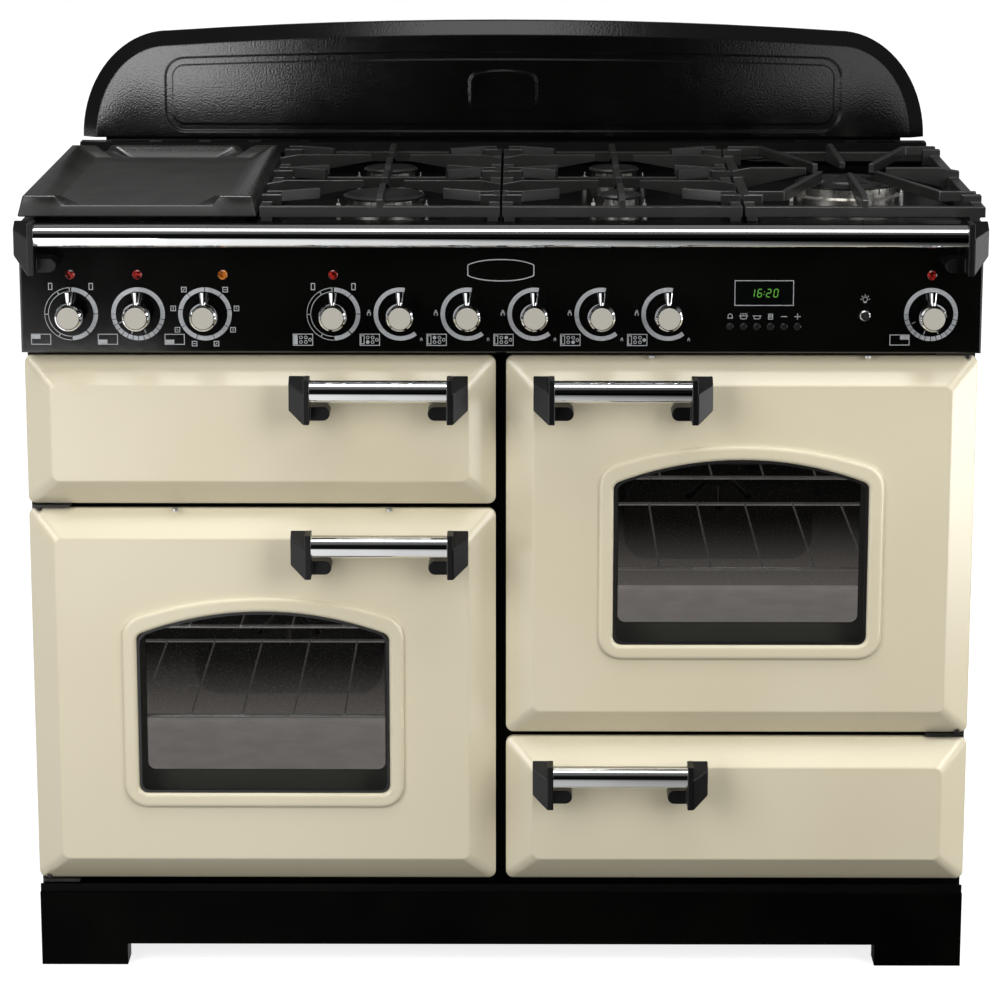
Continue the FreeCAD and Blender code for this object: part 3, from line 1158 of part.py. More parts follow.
def hotplate_glass():
    x0, x1 = UNITS[0]
    return block(max(x0, -HALF) + WELL_MARGIN, x1 - WELL_MARGIN, GRID_SETBACK + WELL_MARGIN,
                 GRID_SETBACK + GRIDDLE_DEPTH - WELL_MARGIN, HOB_TOP, HOB_TOP + HOTPLATE)


def splash_wire(inset, depth):
    """The splashback outline: a shallow arch between two quarter-ellipse shoulders."""
    half = SPLASH_WIDTH / 2 - inset
    shoulder = SPLASH_SHOULDER_HEIGHT - inset
    corner = at(SPLASH_SHOULDER_X, depth, SPLASH_BOTTOM + shoulder)
    end = at(half, depth, SPLASH_BOTTOM)
    upright = shoulder > half - SPLASH_SHOULDER_X
    long_axis = (corner, end) if upright else (end, corner)
    ellipse = Part.Ellipse(*long_axis, at(SPLASH_SHOULDER_X, depth, SPLASH_BOTTOM)).toShape()
    quarter = ellipse.common(block(SPLASH_SHOULDER_X, half + SHEET, depth - SHEET, depth + SHEET,
                                   SPLASH_BOTTOM, SPLASH_BOTTOM + shoulder + SHEET)).Edges[0]
    crown = at(0, depth, SPLASH_BOTTOM + SPLASH_CENTRE_HEIGHT - inset)
    left_corner = at(-SPLASH_SHOULDER_X, depth, SPLASH_BOTTOM + shoulder)
    edges = [quarter, arc(corner, crown, left_corner), mirrored(quarter),
             line(at(-half, depth, SPLASH_BOTTOM), at(half, depth, SPLASH_BOTTOM))]
    return Part.Wire(Part.sortEdges(edges)[0])


def splashback():
    """A pressed splashback with a wide bevel, a groove round its field, a plain plaque and a spacer."""
    face = splash_wire(SPLASH_BEVEL, SPLASH_FRONT)
    rim = splash_wire(0, SPLASH_FRONT + SPLASH_BEVEL_DEPTH)
    plate = Part.makeLoft([face, rim], True, True)
    plate = plate.fuse(Part.Face(rim).extrude(V(0, SPLASH_DEPTH - SPLASH_BEVEL_DEPTH, 0))).removeSplitter()
    sill = SPLASH_BOTTOM + SPLASH_FIELD_BOTTOM
    spring = SPLASH_FIELD_TOP - SPLASH_FIELD_BOTTOM
    back = SPLASH_FRONT + SPLASH_GROOVE_DEPTH
    groove = arch(0, sill, 2 * SPLASH_FIELD_X, spring, SPLASH_FIELD_RISE, SPLASH_FIELD_R, SPLASH_FRONT, back)
    groove = groove.cut(arch(0, sill + SPLASH_GROOVE, 2 * (SPLASH_FIELD_X - SPLASH_GROOVE),
                             spring - 2 * SPLASH_GROOVE, SPLASH_FIELD_RISE, SPLASH_FIELD_R - SPLASH_GROOVE,
                             SPLASH_FRONT, back))
    plaque = arch(0, SPLASH_BOTTOM + PLAQUE_BOTTOM, PLAQUE_WIDTH, PLAQUE_SPRING, PLAQUE_RISE, PLAQUE_R,
                  SPLASH_FRONT - PLAQUE_PROUD, back)
    middle = BODY_DEPTH - SPLASH_DEPTH / 2
    spacer = block(-SPACER_X, SPACER_X, middle - SPACER_DEPTH / 2, middle + SPACER_DEPTH / 2,
                   SPLASH_BOTTOM - SPACER_HEIGHT, SPLASH_BOTTOM)
    return group([plate.cut(groove).fuse(plaque), spacer])


os.makedirs("parts", exist_ok=True)

for name, (side, bottom) in zip(("left", "right"), OVENS):
    save(door_panel(side, bottom), name + "_door_panel")
    save(door_liner(side, bottom), name + "_door_liner")
    save(door_glass(side, bottom), name + "_door_glass")
    save(front_handle(side, bottom + TALL_FRONT), name + "_door_handle")
    save(oven_liner(side, bottom), name + "_oven_liner")
    save(fan(side, bottom), name + "_fan")
save(pressed_front(-COLUMN_X - COLUMN_WIDTH / 2, -COLUMN_X + COLUMN_WIDTH / 2, GRILL_BOTTOM,
                   GRILL_BOTTOM + LOW_FRONT), "grill_front")
save(front_handle(-1, GRILL_BOTTOM + LOW_FRONT), "grill_handle")
save(grill_pan(), "grill_pan")
save(grill_trivet(), "grill_trivet")
save(grill_liner(), "grill_liner")
save(pressed_front(COLUMN_X - COLUMN_WIDTH / 2, COLUMN_X + COLUMN_WIDTH / 2, FRONTS_BOTTOM,
                   FRONTS_BOTTOM + LOW_FRONT), "drawer_front")
save(front_handle(1, FRONTS_BOTTOM + LOW_FRONT), "drawer_handle")
save(drawer_box(), "drawer_box")
save(runners(), "slide_runners")
save(door_hinges(), "door_hinges")
save(oven_shelves(), "oven_shelves")
save(heating_elements(), "heating_elements")
save(front_frame(), "front_frame")
save(base_frame(), "base_frame")
save(side_panels(), "side_panels")
save(rear_panel(), "rear_panel")
save(plinth(), "plinth")
save(levelling_feet(), "levelling_feet")
for name, x in [*ELECTRIC_KNOBS.items(), *GAS_KNOBS.items()]:
    save(knob(x), name)
save(control_panel(), "control_panel")
save(panel_fittings(), "panel_fittings")
for place, x in enumerate(TIMERS, 1):
    save(push_button(x, TIMER_Z, TIMER_R, TIMER_PROUD), "timer_button_" + str(place))
save(push_button(LIGHT_X, LIGHT_Z, LIGHT_R, LIGHT_PROUD), "light_button")
save(taps_and_switches(), "taps_and_switches")
save(bar_handle(-HALF, HALF, PANEL_TOP + RAIL_RISE, CAP_WIDTH, RAIL_BELOW), "handrail")
save(hob_tray(), "hob_tray")
save(burner_heads(), "burner_heads")
save(burner_caps(), "burner_caps")
save(pan_support(*UNITS[1]), "pan_support_left")
save(pan_support(*UNITS[2]), "pan_support_centre")
save(wok_support(*UNITS[3]), "wok_support")
save(griddle(), "griddle")
save(hotplate_glass(), "hotplate_glass")
save(splashback(), "splashback")
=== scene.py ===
from math import cos, pi, radians, sin

import bmesh
import bpy
from mathutils import Matrix, Vector


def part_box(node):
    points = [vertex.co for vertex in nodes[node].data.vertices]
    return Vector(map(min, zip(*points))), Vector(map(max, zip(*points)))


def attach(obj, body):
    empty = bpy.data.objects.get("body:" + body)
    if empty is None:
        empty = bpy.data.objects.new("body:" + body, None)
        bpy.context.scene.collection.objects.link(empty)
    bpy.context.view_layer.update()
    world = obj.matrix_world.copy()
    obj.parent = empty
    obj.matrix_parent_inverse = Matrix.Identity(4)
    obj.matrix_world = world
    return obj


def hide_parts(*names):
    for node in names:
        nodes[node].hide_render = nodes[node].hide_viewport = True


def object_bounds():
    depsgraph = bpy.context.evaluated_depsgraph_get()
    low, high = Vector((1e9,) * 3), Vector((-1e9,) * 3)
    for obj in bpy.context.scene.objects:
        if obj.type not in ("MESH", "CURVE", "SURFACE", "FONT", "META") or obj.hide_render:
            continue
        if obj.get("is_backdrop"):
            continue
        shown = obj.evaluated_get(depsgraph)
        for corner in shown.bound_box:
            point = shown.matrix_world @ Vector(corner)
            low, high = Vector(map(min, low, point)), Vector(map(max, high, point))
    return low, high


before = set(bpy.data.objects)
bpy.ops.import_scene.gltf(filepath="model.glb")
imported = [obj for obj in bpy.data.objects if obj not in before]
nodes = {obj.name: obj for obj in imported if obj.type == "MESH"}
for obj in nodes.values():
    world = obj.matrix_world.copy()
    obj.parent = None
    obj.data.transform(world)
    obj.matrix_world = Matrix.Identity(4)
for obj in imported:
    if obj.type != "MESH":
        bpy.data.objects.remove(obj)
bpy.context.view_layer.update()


# Chassis hardware: the drawer slides and the screwed levelling feet are zinc-plated steel, and
# plating leaves a faint mottle. The door hinges are the same steel, blackened.
class Wire:
    """One socket of a finish. Arithmetic on it adds Math nodes, and node() adds any other node."""

    def __init__(self, tree, socket=None):
        self.tree = tree
        self.socket = socket

    def node(self, kind, settings=None, inputs=None, out=0):
        made = self.tree.nodes.new("ShaderNode" + kind)
        for name, value in (settings or {}).items():
            setattr(made, name, value)
        for name, value in (inputs or {}).items():
            if isinstance(value, Wire):
                self.tree.links.new(value.socket, made.inputs[name])
            else:
                made.inputs[name].default_value = value
        return Wire(self.tree, made.outputs[out] if made.outputs else None)

    def other(self, out):
        return Wire(self.tree, self.socket.node.outputs[out])

    def sum(self, operation, left, right=0.0):
        return self.node("Math", {"operation": operation}, {0: left, 1: right})

    def __add__(self, more):
        return self.sum("ADD", self, more)

    def __sub__(self, less):
        return self.sum("SUBTRACT", self, less)

    def __rsub__(self, whole):
        return self.sum("SUBTRACT", whole, self)

    def __mul__(self, times):
        return self.sum("MULTIPLY", self, times)

    def __lt__(self, limit):
        return self.sum("LESS_THAN", self, limit)

    def __gt__(self, limit):
        return self.sum("GREATER_THAN", self, limit)

    def __abs__(self):
        return self.sum("ABSOLUTE", self)

    __radd__ = __add__
    __rmul__ = __mul__

    def fade(self, low, high):
        """0 at low, 1 at high and smooth between them."""
        ends = {"Value": self, "From Min": low, "From Max": high}
        return self.node("MapRange", {"interpolation_type": "SMOOTHSTEP"}, ends)

    def blend(self, first, second):
        """The first colour where this wire is 0, the second where it is 1."""
        return self.node("Mix", {"data_type": "RGBA"}, {0: self, 6: first, 7: second}, 2)

    def vary(self, first, second):
        """Soft patches of two colours, where this wire is a noise."""
        return self.fade(0.3, 0.7).blend(first, second)

    def axes(self):
        """The x, y and z of a place or direction."""
        x = self.node("SeparateXYZ", {}, {"Vector": self})
        return x, x.other(1), x.other(2)

    def noise(self, scale, detail=2.0):
        return self.node("TexNoise", {}, {"Vector": self, "Scale": scale, "Detail": detail})

    def bump(self, distance, edge=0.0):
        """A relief of this height, on edges that are rounded to that radius."""
        look = {"Height": self, "Distance": distance}
        if edge:
            look["Normal"] = self.node("Bevel", {"samples": 6}, {"Radius": edge})
        return self.node("Bump", {}, look)


def colour(red, green, blue):
    """A screen colour, 0 to 255, as the linear colour that a shader takes."""
    return (*((v / 12.92 if v < 0.04 else ((v + 0.055) / 1.055) ** 2.4)
              for v in (red / 255, green / 255, blue / 255)), 1.0)


def start_finish(name):
    """A new finish and its Object coordinates."""
    finish = bpy.data.materials.new(name)
    finish.use_nodes = True
    finish.node_tree.nodes.clear()
    return finish, Wire(finish.node_tree).node("TexCoord", out="Object")


def lay_finish(finish, place, look, *names):
    """Ends a finish on its shader and lays it on the CAD pieces of those names."""
    shader = place.node("BsdfPrincipled", {}, look)
    place.node("OutputMaterial", {}, {"Surface": shader})
    for name in names:
        nodes[name].material_slots[0].material = finish


zinc, place = start_finish("zinc_plate")
mottle = place.noise(90.0, 4.0)
lay_finish(zinc, place, {
    "Base Color": mottle.vary(colour(168, 170, 172), colour(196, 197, 196)),
    "Metallic": 1.0, "Roughness": mottle * 0.25 + 0.25,
}, "slide_runners", "levelling_feet")

blackened, place = start_finish("blackened_steel")
mottle = place.noise(90.0, 4.0)
lay_finish(blackened, place, {
    "Base Color": mottle.vary(colour(26, 26, 25), colour(44, 44, 42)),
    "Metallic": 0.4, "Roughness": mottle * 0.2 + 0.35,
}, "door_hinges")


# Body: the side panels are black vitreous enamel on pressed steel, which ripples slightly where it
# flowed in the furnace. The base tray with its posts and the front frame are painted matt black.
black_enamel, place = start_finish("black_enamel")
ripple = place.noise(160.0, 1.0)
lay_finish(black_enamel, place, {
    "Base Color": place.noise(6.0).vary(colour(13, 13, 12), colour(19, 19, 18)),
    "Roughness": place.noise(24.0) * 0.1 + 0.2, "Specular IOR Level": 0.3,
    "Normal": ripple.bump(0.00008),
}, "side_panels")

frame_paint, place = start_finish("frame_paint")
grain = place.noise(300.0, 2.0)
lay_finish(frame_paint, place, {
    "Base Color": place.noise(6.0).vary(colour(3, 3, 3), colour(8, 8, 7)),
    "Roughness": grain * 0.15 + 0.45, "Specular IOR Level": 0.05,
}, "base_frame", "front_frame")


# Rear panel: plain galvanised sheet with its terminal cover, screwed on from behind. The zinc
# crystals show as a spangle of grey flakes about a centimetre across.
galvanised, place = start_finish("galvanised_sheet")
warped = place.noise(40.0)
flakes = place.node("TexVoronoi", {}, {"Vector": place, "Scale": 95.0, "Randomness": 1.0}, "Color")
shade = flakes.node("SeparateColor", {}, {"Color": flakes})
lay_finish(galvanised, place, {
    "Base Color": (shade * 0.7 + warped * 0.3).blend(colour(150, 154, 156), colour(198, 201, 202)),
    "Metallic": 1.0, "Roughness": shade * 0.18 + 0.3,
}, "rear_panel")


# Plinth: a black painted pressing clipped to the feet, with a raised middle between two end
# blocks. Its folds are rounded by the press brake.
plinth_paint, place = start_finish("plinth_paint")
grain = place.noise(420.0, 2.0)
lay_finish(plinth_paint, place, {
    "Base Color": place.noise(9.0).vary(colour(2, 2, 2), colour(6, 6, 5)),
    "Roughness": grain * 0.15 + 0.4, "Specular IOR Level": 0.02, "Normal": grain.bump(0.00006, 0.0025),
}, "plinth")


# Oven cavities: welded liners in near-black vitreous enamel with fine pale flecks. The base plate of
# each oven is a paler grey. Painted light, an emission, lies on it and dies out up the walls.
base_plate = {"left_oven_liner": 0.160, "right_oven_liner": 0.340}
plate_depth = 0.003
glow_start, glow_end = -0.03, 0.105
for liner in ("left_oven_liner", "right_oven_liner", "grill_liner", "grill_pan"):
    enamel, place = start_finish(liner + "_enamel")
    flecks = place.noise(520.0, 1.0).fade(0.62, 0.68)
    walls = place.noise(12.0).vary(colour(20, 19, 18), colour(27, 26, 25))
    look = {"Base Color": (flecks * 0.35).blend(walls, colour(188, 186, 182)),
            "Roughness": flecks * 0.1 + 0.35, "Coat Weight": 0.1}
    if liner in base_plate:
        height = place.axes()[2] - base_plate[liner]
        on_floor = abs(height) < plate_depth
        grain = place.noise(30.0, 2.0).fade(0.3, 0.7)
        plate = grain.blend(colour(150, 145, 141), colour(162, 157, 153))
        # painted light: an emission on the foot of the walls that fades out upward, and another over the
        # whole base plate
        painted_wall_light = height.fade(glow_start, glow_end).blend(colour(118, 113, 109), colour(0, 0, 0))
        painted_plate_light = grain.blend(colour(130, 125, 121), colour(138, 133, 129))
        look["Base Color"] = on_floor.blend(look["Base Color"], plate)
        look["Emission Color"] = on_floor.blend(painted_wall_light, painted_plate_light)
        look["Emission Strength"] = 1.0
    lay_finish(enamel, place, look, liner)


# Fan blades and heating elements: pressed steel wheels on the motor shafts behind the covers,
# and elements in a sheath that heat has tinted brown.
fan_steel, place = start_finish("fan_steel")
brushed = place.noise(70.0, 6.0)
lay_finish(fan_steel, place, {
    "Base Color": brushed.vary(colour(148, 146, 142), colour(182, 180, 176)),
    "Metallic": 1.0, "Roughness": brushed * 0.2 + 0.28,
}, "left_fan", "right_fan")

sheath, place = start_finish("element_sheath")
scale = place.noise(60.0, 3.0)
lay_finish(sheath, place, {
    "Base Color": scale.fade(0.35, 0.65).blend(colour(74, 66, 60), colour(110, 94, 80)),
    "Metallic": 1.0, "Roughness": scale * 0.25 + 0.35,
}, "heating_elements")


# Oven shelves and grill trivet: chromium-plated steel wire, resting on the ribs pressed into the
# cavity sides and in the pan. Each shelf is a stout wire frame with thinner bars welded over it.
def add_piece(name, form, finish, body):
    """Makes a piece of a finished form and lets it ride on that body."""
    bmesh.ops.remove_doubles(form, verts=form.verts, dist=0.000001)
    bmesh.ops.recalc_face_normals(form, faces=form.faces)
    mesh = bpy.data.meshes.new(name)
    form.to_mesh(mesh)
    form.free()
    mesh.materials.append(finish)
    piece = bpy.data.objects.new(name, mesh)
    bpy.context.collection.objects.link(piece)
    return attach(piece, body)


def smooth(piece, angle=40.0):
    """Smooth shading, with creases only at folds sharper than that angle."""
    piece.data.shade_smooth()
    piece.data.set_sharp_from_angle(angle=radians(angle))


def add_rod(form, start, end, radius, sides=10):
    """A straight round bar between two points."""
    start, end = Vector(start), Vector(end)
    turn = (end - start).to_track_quat("Z", "Y").to_matrix().to_4x4()
    bmesh.ops.create_cone(form, cap_ends=True, segments=sides, radius1=radius, radius2=radius,
                          depth=(end - start).length, matrix=Matrix.Translation((start + end) / 2) @ turn)


def wire_chrome(haze):
    """The look of plated wire that use has dulled a little."""
    return {"Base Color": haze.vary(colour(205, 206, 207), colour(224, 225, 226)),
            "Metallic": 0.75, "Roughness": haze * 0.15 + 0.15}


rack_chrome, place = start_finish("rack_chrome")
lay_finish(rack_chrome, place, wire_chrome(place.noise(35.0, 3.0)), "grill_trivet")

# the shelves also carry a painted glow, an emission standing in for light inside the oven, so that they
# show through the dark glass
shelf_chrome_painted_glow, place = start_finish("shelf_chrome_painted_glow")
haze = place.noise(35.0, 3.0)
lay_finish(shelf_chrome_painted_glow, place, {
    **wire_chrome(haze), "Emission Strength": 1.0,
    "Emission Color": haze.vary(colour(66, 64, 61), colour(78, 76, 73)),
}, "oven_shelves")

frame_wire = 0.0022
bar_wire = 0.0012
bars = 6
oven_middle, oven_step, shelf_step = 0.276, 0.180, 0.109
low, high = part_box("oven_shelves")
half = high.x - oven_middle - frame_wire
levels = [low.z + frame_wire, low.z + frame_wire + shelf_step]
racks = bmesh.new()
for middle, rise in ((-oven_middle, 0.0), (oven_middle, oven_step)):
    for level in levels:
        left, right, z = middle - half, middle + half, level + rise
        front, back = low.y + frame_wire, high.y - frame_wire
        for y in (front, back):
            add_rod(racks, (left - frame_wire, y, z), (right + frame_wire, y, z), frame_wire)
        for x in (left, right):
            add_rod(racks, (x, front, z), (x, back, z), frame_wire)
        for bar in range(1, bars + 1):
            x = left + (right - left) * bar / (bars + 1)
            add_rod(racks, (x, low.y, z + bar_wire), (x, high.y, z + bar_wire), bar_wire)
shelves = add_piece("wire_shelves", racks, shelf_chrome_painted_glow, "carcass")
smooth(shelves)
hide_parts("oven_shelves")


# Storage drawer: a folded and welded steel tray in pale grey powder coat. It hangs on the two
# slides behind the drawer front.
powder, place = start_finish("powder_coat")
pebble = place.noise(700.0, 1.0)
lay_finish(powder, place, {
    "Base Color": place.noise(14.0).vary(colour(150, 152, 152), colour(164, 166, 166)),
    "Roughness": pebble * 0.15 + 0.45, "Normal": pebble.bump(0.00005),
}, "drawer_box")


# Door liners: the pressed inner skins of the two oven doors, black enamel, screwed to the fronts
# and carrying the inner pane.
liner_enamel, place = start_finish("liner_enamel")
flow = place.noise(130.0, 1.0)
lay_finish(liner_enamel, place, {
    "Base Color": place.noise(8.0).vary(colour(16, 16, 16), colour(24, 24, 23)),
    "Roughness": flow * 0.1 + 0.18, "Coat Weight": 0.3, "Normal": flow.bump(0.0001),
}, "left_door_liner", "right_door_liner")


# Door glass: two toughened panes in each oven door. The inner pane has a fired black border with
# rounded corners, and the outer one is lightly tinted and clear.
door_face = -0.277
pane_split = door_face + 0.020
clear_half_width, clear_half_height, clear_rise = 0.131, 0.0855, 0.002
clear_corner, corner_blur = 0.009, 0.0005
for side in ("left", "right"):
    low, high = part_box(side + "_door_glass")
    middle = (low + high) / 2
    glass, place = start_finish(side + "_door_glass")
    x, y, z = place.axes()
    across = x.sum("MAXIMUM", abs(x - middle.x) - clear_half_width, 0.0)
    along = x.sum("MAXIMUM", abs(z - middle.z - clear_rise) - clear_half_height, 0.0)
    outside = x.sum("SQRT", across * across + along * along)
    border = outside.fade(clear_corner - corner_blur, clear_corner + corner_blur) * (y > pane_split)
    haze = place.noise(18.0)
    clear = haze.fade(0.2, 0.8).blend(colour(6, 6, 6), colour(10, 10, 9))
    lay_finish(glass, place, {
        "Base Color": border.blend(clear, colour(74, 74, 69)),
        "Roughness": haze * 0.04 + 0.03, "Alpha": border * 0.84 + 0.16, "Specular IOR Level": 0.06,
    }, side + "_door_glass")


# Cream fronts: two oven doors, the grill front and the drawer front, pressed from one sheet each
# with a wide bevel round the edge. Gloss vitreous enamel pools slightly, so it never lies dead flat.
cream, place = start_finish("cream_enamel")
pool = place.noise(5.0, 1.0)
peel = place.noise(210.0, 1.0)
fronts = ("left_door_panel", "right_door_panel", "grill_front", "drawer_front")
lay_finish(cream, place, {
    "Base Color": pool.fade(0.25, 0.75).blend(colour(221, 211, 183), colour(225, 216, 189)),
    "Roughness": place.noise(30.0) * 0.08 + 0.2, "Coat Weight": 0.5, "Coat Roughness": 0.25,
    "Normal": (peel * 0.5 + pool).bump(0.00008, 0.004),
}, *fronts)


# Window gaskets and hinge screws: a black rubber cord lies between each bead and its outer pane,
# and two zinc screws show on the top edge of each oven door.
rubber, place = start_finish("gasket_rubber")
bloom = place.noise(80.0, 2.0)
lay_finish(rubber, place, {
    "Base Color": bloom.vary(colour(12, 12, 12), colour(20, 20, 20)),
    "Roughness": bloom * 0.1 + 0.35,
})
window_half, window_spring, window_rise, window_corner = 0.1465, 0.191, 0.028, 0.012
arch_radius = (window_half ** 2 + window_rise ** 2) / (2 * window_rise)
arch_steps = 16
sill_height = 0.112
cord_back, cord_width, cord_height = door_face + 0.0018, 0.0032, 0.0025
screw_radius, screw_depth, screw_sunk, screw_proud = 0.0038, 0.016, 0.001, 0.0018
for side, body, screws in (("left", "door_left", (-0.376, -0.129)),
                           ("right", "door_right", (0.172, 0.419))):
    low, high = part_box(side + "_door_panel")
    middle, sill = (low.x + high.x) / 2, low.z + sill_height
    cord = bmesh.new()
    rim = [cord.verts.new((middle + across * window_half, cord_back, sill)) for across in (-1, 1)]
    for step in range(arch_steps + 1):
        across = window_half * (1 - 2 * step / arch_steps)
        rise = window_rise - arch_radius + (arch_radius ** 2 - across ** 2) ** 0.5
        rim.append(cord.verts.new((middle + across, cord_back, sill + window_spring + rise)))
    cord.faces.new(rim)
    corners = [rim[0], rim[1], rim[2], rim[-1]]
    bmesh.ops.bevel(cord, geom=corners, offset=window_corner, segments=5, profile=0.5,
                    affect="VERTICES", material=-1)
    pane = cord.faces[:][0]
    bmesh.ops.inset_individual(cord, faces=[pane], thickness=cord_width)
    bmesh.ops.delete(cord, geom=[pane], context="FACES")
    lifted = bmesh.ops.extrude_face_region(cord, geom=cord.faces[:])["geom"]
    raised = [part for part in lifted if isinstance(part, bmesh.types.BMVert)]
    bmesh.ops.translate(cord, verts=raised, vec=(0.0, -cord_height, 0.0))
    add_piece(side + "_window_gasket", cord, rubber, body)
    heads = bmesh.new()
    for x in screws:
        y = door_face + screw_depth
        add_rod(heads, (x, y, high.z - screw_sunk), (x, y, high.z + screw_proud), screw_radius, 16)
    add_piece(side + "_door_screws", heads, zinc, body)


# Handles and handrail: chromed tubes between black die-cast brackets, screwed through the fronts.
# The castings are satin black with softly rounded edges, and each tube's plating is a smooth skin.
def round_edges(name, width, segments, angle):
    """Rounds a CAD piece's sharp edges and keeps its flat faces flat."""
    piece = nodes[name]
    piece.modifiers.new("weld", "WELD").merge_threshold = 0.00002
    flat = piece.modifiers.new("flat", "DECIMATE")
    flat.decimate_type = "DISSOLVE"
    flat.angle_limit = radians(1.0)
    bevel = piece.modifiers.new("bevel", "BEVEL")
    bevel.width = width
    bevel.segments = segments
    bevel.limit_method = "ANGLE"
    bevel.angle_limit = radians(angle)
    piece.modifiers.new("normals", "WEIGHTED_NORMAL").keep_sharp = True


cast_black, place = start_finish("cast_black")
cast = place.noise(600.0, 2.0)
handles = {"left_door_handle": "door_left", "right_door_handle": "door_right",
           "grill_handle": "grill_drawer", "drawer_handle": "storage_drawer", "handrail": "carcass"}
lay_finish(cast_black, place, {
    "Base Color": place.noise(40.0).vary(colour(5, 5, 5), colour(10, 10, 10)),
    "Roughness": cast * 0.1 + 0.28, "Specular IOR Level": 0.3, "Normal": cast.bump(0.00004),
}, *handles)
tube_chrome, place = start_finish("tube_chrome")
wipe = place.noise(25.0, 2.0)
lay_finish(tube_chrome, place, {
    "Base Color": wipe.vary(colour(226, 227, 228), colour(232, 233, 234)),
    "Metallic": 1.0, "Roughness": wipe * 0.03 + 0.02,
})
tube_radius, tube_skin = 0.0125, 0.0003
tube_reach, tube_drop, bracket_width = 0.040, 0.016, 0.022
bracket_edge, fold_angle = 0.0012, 28.0
for handle, body in handles.items():
    low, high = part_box(handle)
    round_edges(handle, bracket_edge, 3, fold_angle)
    sleeve = bmesh.new()
    ends = [(x, door_face - tube_reach, high.z - tube_drop)
            for x in (low.x + bracket_width, high.x - bracket_width)]
    add_rod(sleeve, *ends, tube_radius + tube_skin, 64)
    smooth(add_piece(handle + "_tube", sleeve, tube_chrome, body))


# Hob tray: one deep pressing in black enamel with a shallow well under each burner group, and the
# vent trim along its rear edge.
tray_enamel, place = start_finish("tray_enamel")
flow = place.noise(140.0, 1.0)
lay_finish(tray_enamel, place, {
    "Base Color": place.noise(7.0).vary(colour(7, 7, 7), colour(11, 11, 10)),
    "Roughness": place.noise(26.0) * 0.1 + 0.2, "Specular IOR Level": 0.08,
    "Normal": flow.bump(0.0001),
}, "hob_tray")


# Hotplate: a pane of black glass-ceramic under the griddle, let into the hob tray. Fine dots are
# printed all over it.
ceramic, place = start_finish("ceramic_glass")
dots = place.node("TexVoronoi", {"feature": "F1"}, {"Vector": place, "Scale": 330.0, "Randomness": 0.0})
lay_finish(ceramic, place, {
    "Base Color": dots.fade(0.25, 0.3).blend(colour(46, 45, 44), colour(8, 8, 8)),
    "Roughness": dots.fade(0.25, 0.3) * -0.1 + 0.15,
}, "hotplate_glass")


# Burners: die-cast aluminium heads with slotted rims, and pressed caps in black enamel laid loose
# on top of them.
alloy, place = start_finish("burner_alloy")
sand = place.noise(500.0, 3.0)
lay_finish(alloy, place, {
    "Base Color": place.noise(40.0, 3.0).vary(colour(186, 184, 178), colour(214, 212, 206)),
    "Metallic": 1.0, "Roughness": sand * 0.15 + 0.22,
}, "burner_heads")

cap_enamel, place = start_finish("cap_enamel")
speck = place.noise(450.0, 2.0)
lay_finish(cap_enamel, place, {
    "Base Color": place.noise(30.0).vary(colour(22, 22, 22), colour(32, 32, 31)),
    "Roughness": speck * 0.15 + 0.3, "Normal": speck.bump(0.00004),
}, "burner_caps")


# Burner electrodes: a white ceramic spark electrode and a steel flame probe stand beside each
# burner, clipped up through the tray.
ceramic_white, place = start_finish("electrode_ceramic")
glaze = place.noise(300.0, 2.0)
lay_finish(ceramic_white, place, {
    "Base Color": glaze.vary(colour(206, 202, 192), colour(226, 222, 214)),
    "Roughness": glaze * 0.1 + 0.25,
})
well_floor = 0.880
electrode_gap, electrode_rise, electrode_radius = 0.006, 0.012, 0.0024
tip_rise, tip_radius = 0.017, 0.0009
spark_angle, probe_angle = 200.0, 335.0
burners = ((-0.1379, 0.162, 0.050), (-0.1379, 0.399, 0.035), (0.1379, 0.162, 0.0265),
           (0.1379, 0.399, 0.0325), (0.4136, 0.280, 0.065))
ceramics, probes = bmesh.new(), bmesh.new()
for x, depth, radius in burners:
    reach = radius + electrode_gap
    for angle, form in ((spark_angle, ceramics), (probe_angle, probes)):
        left = x + reach * cos(radians(angle))
        back = door_face + depth + reach * sin(radians(angle))
        top = (left, back, well_floor + electrode_rise)
        add_rod(form, (left, back, well_floor), top, electrode_radius, 12)
        add_rod(probes, top, (left, back, well_floor + tip_rise), tip_radius, 8)
add_piece("spark_electrodes", ceramics, ceramic_white, "carcass")
add_piece("flame_probes", probes, rack_chrome, "carcass")


# Pan supports and griddle: heavy iron castings, matt black, standing loose on the hob. The sand
# mould leaves a fine grain and soft edges.
def iron_tone(place):
    return place.noise(20.0, 3.0).vary(colour(17, 17, 16), colour(25, 25, 24))


supports = ("pan_support_left", "pan_support_centre", "wok_support")
casting_edge = 0.0022
cast_iron, place = start_finish("cast_iron")
sand = place.noise(380.0, 3.0)
lay_finish(cast_iron, place, {
    "Base Color": iron_tone(place),
    "Roughness": sand * 0.12 + 0.26, "Specular IOR Level": 0.6, "Normal": sand.bump(0.00002),
}, *supports)
for support in supports:
    round_edges(support, casting_edge, 3, fold_angle)

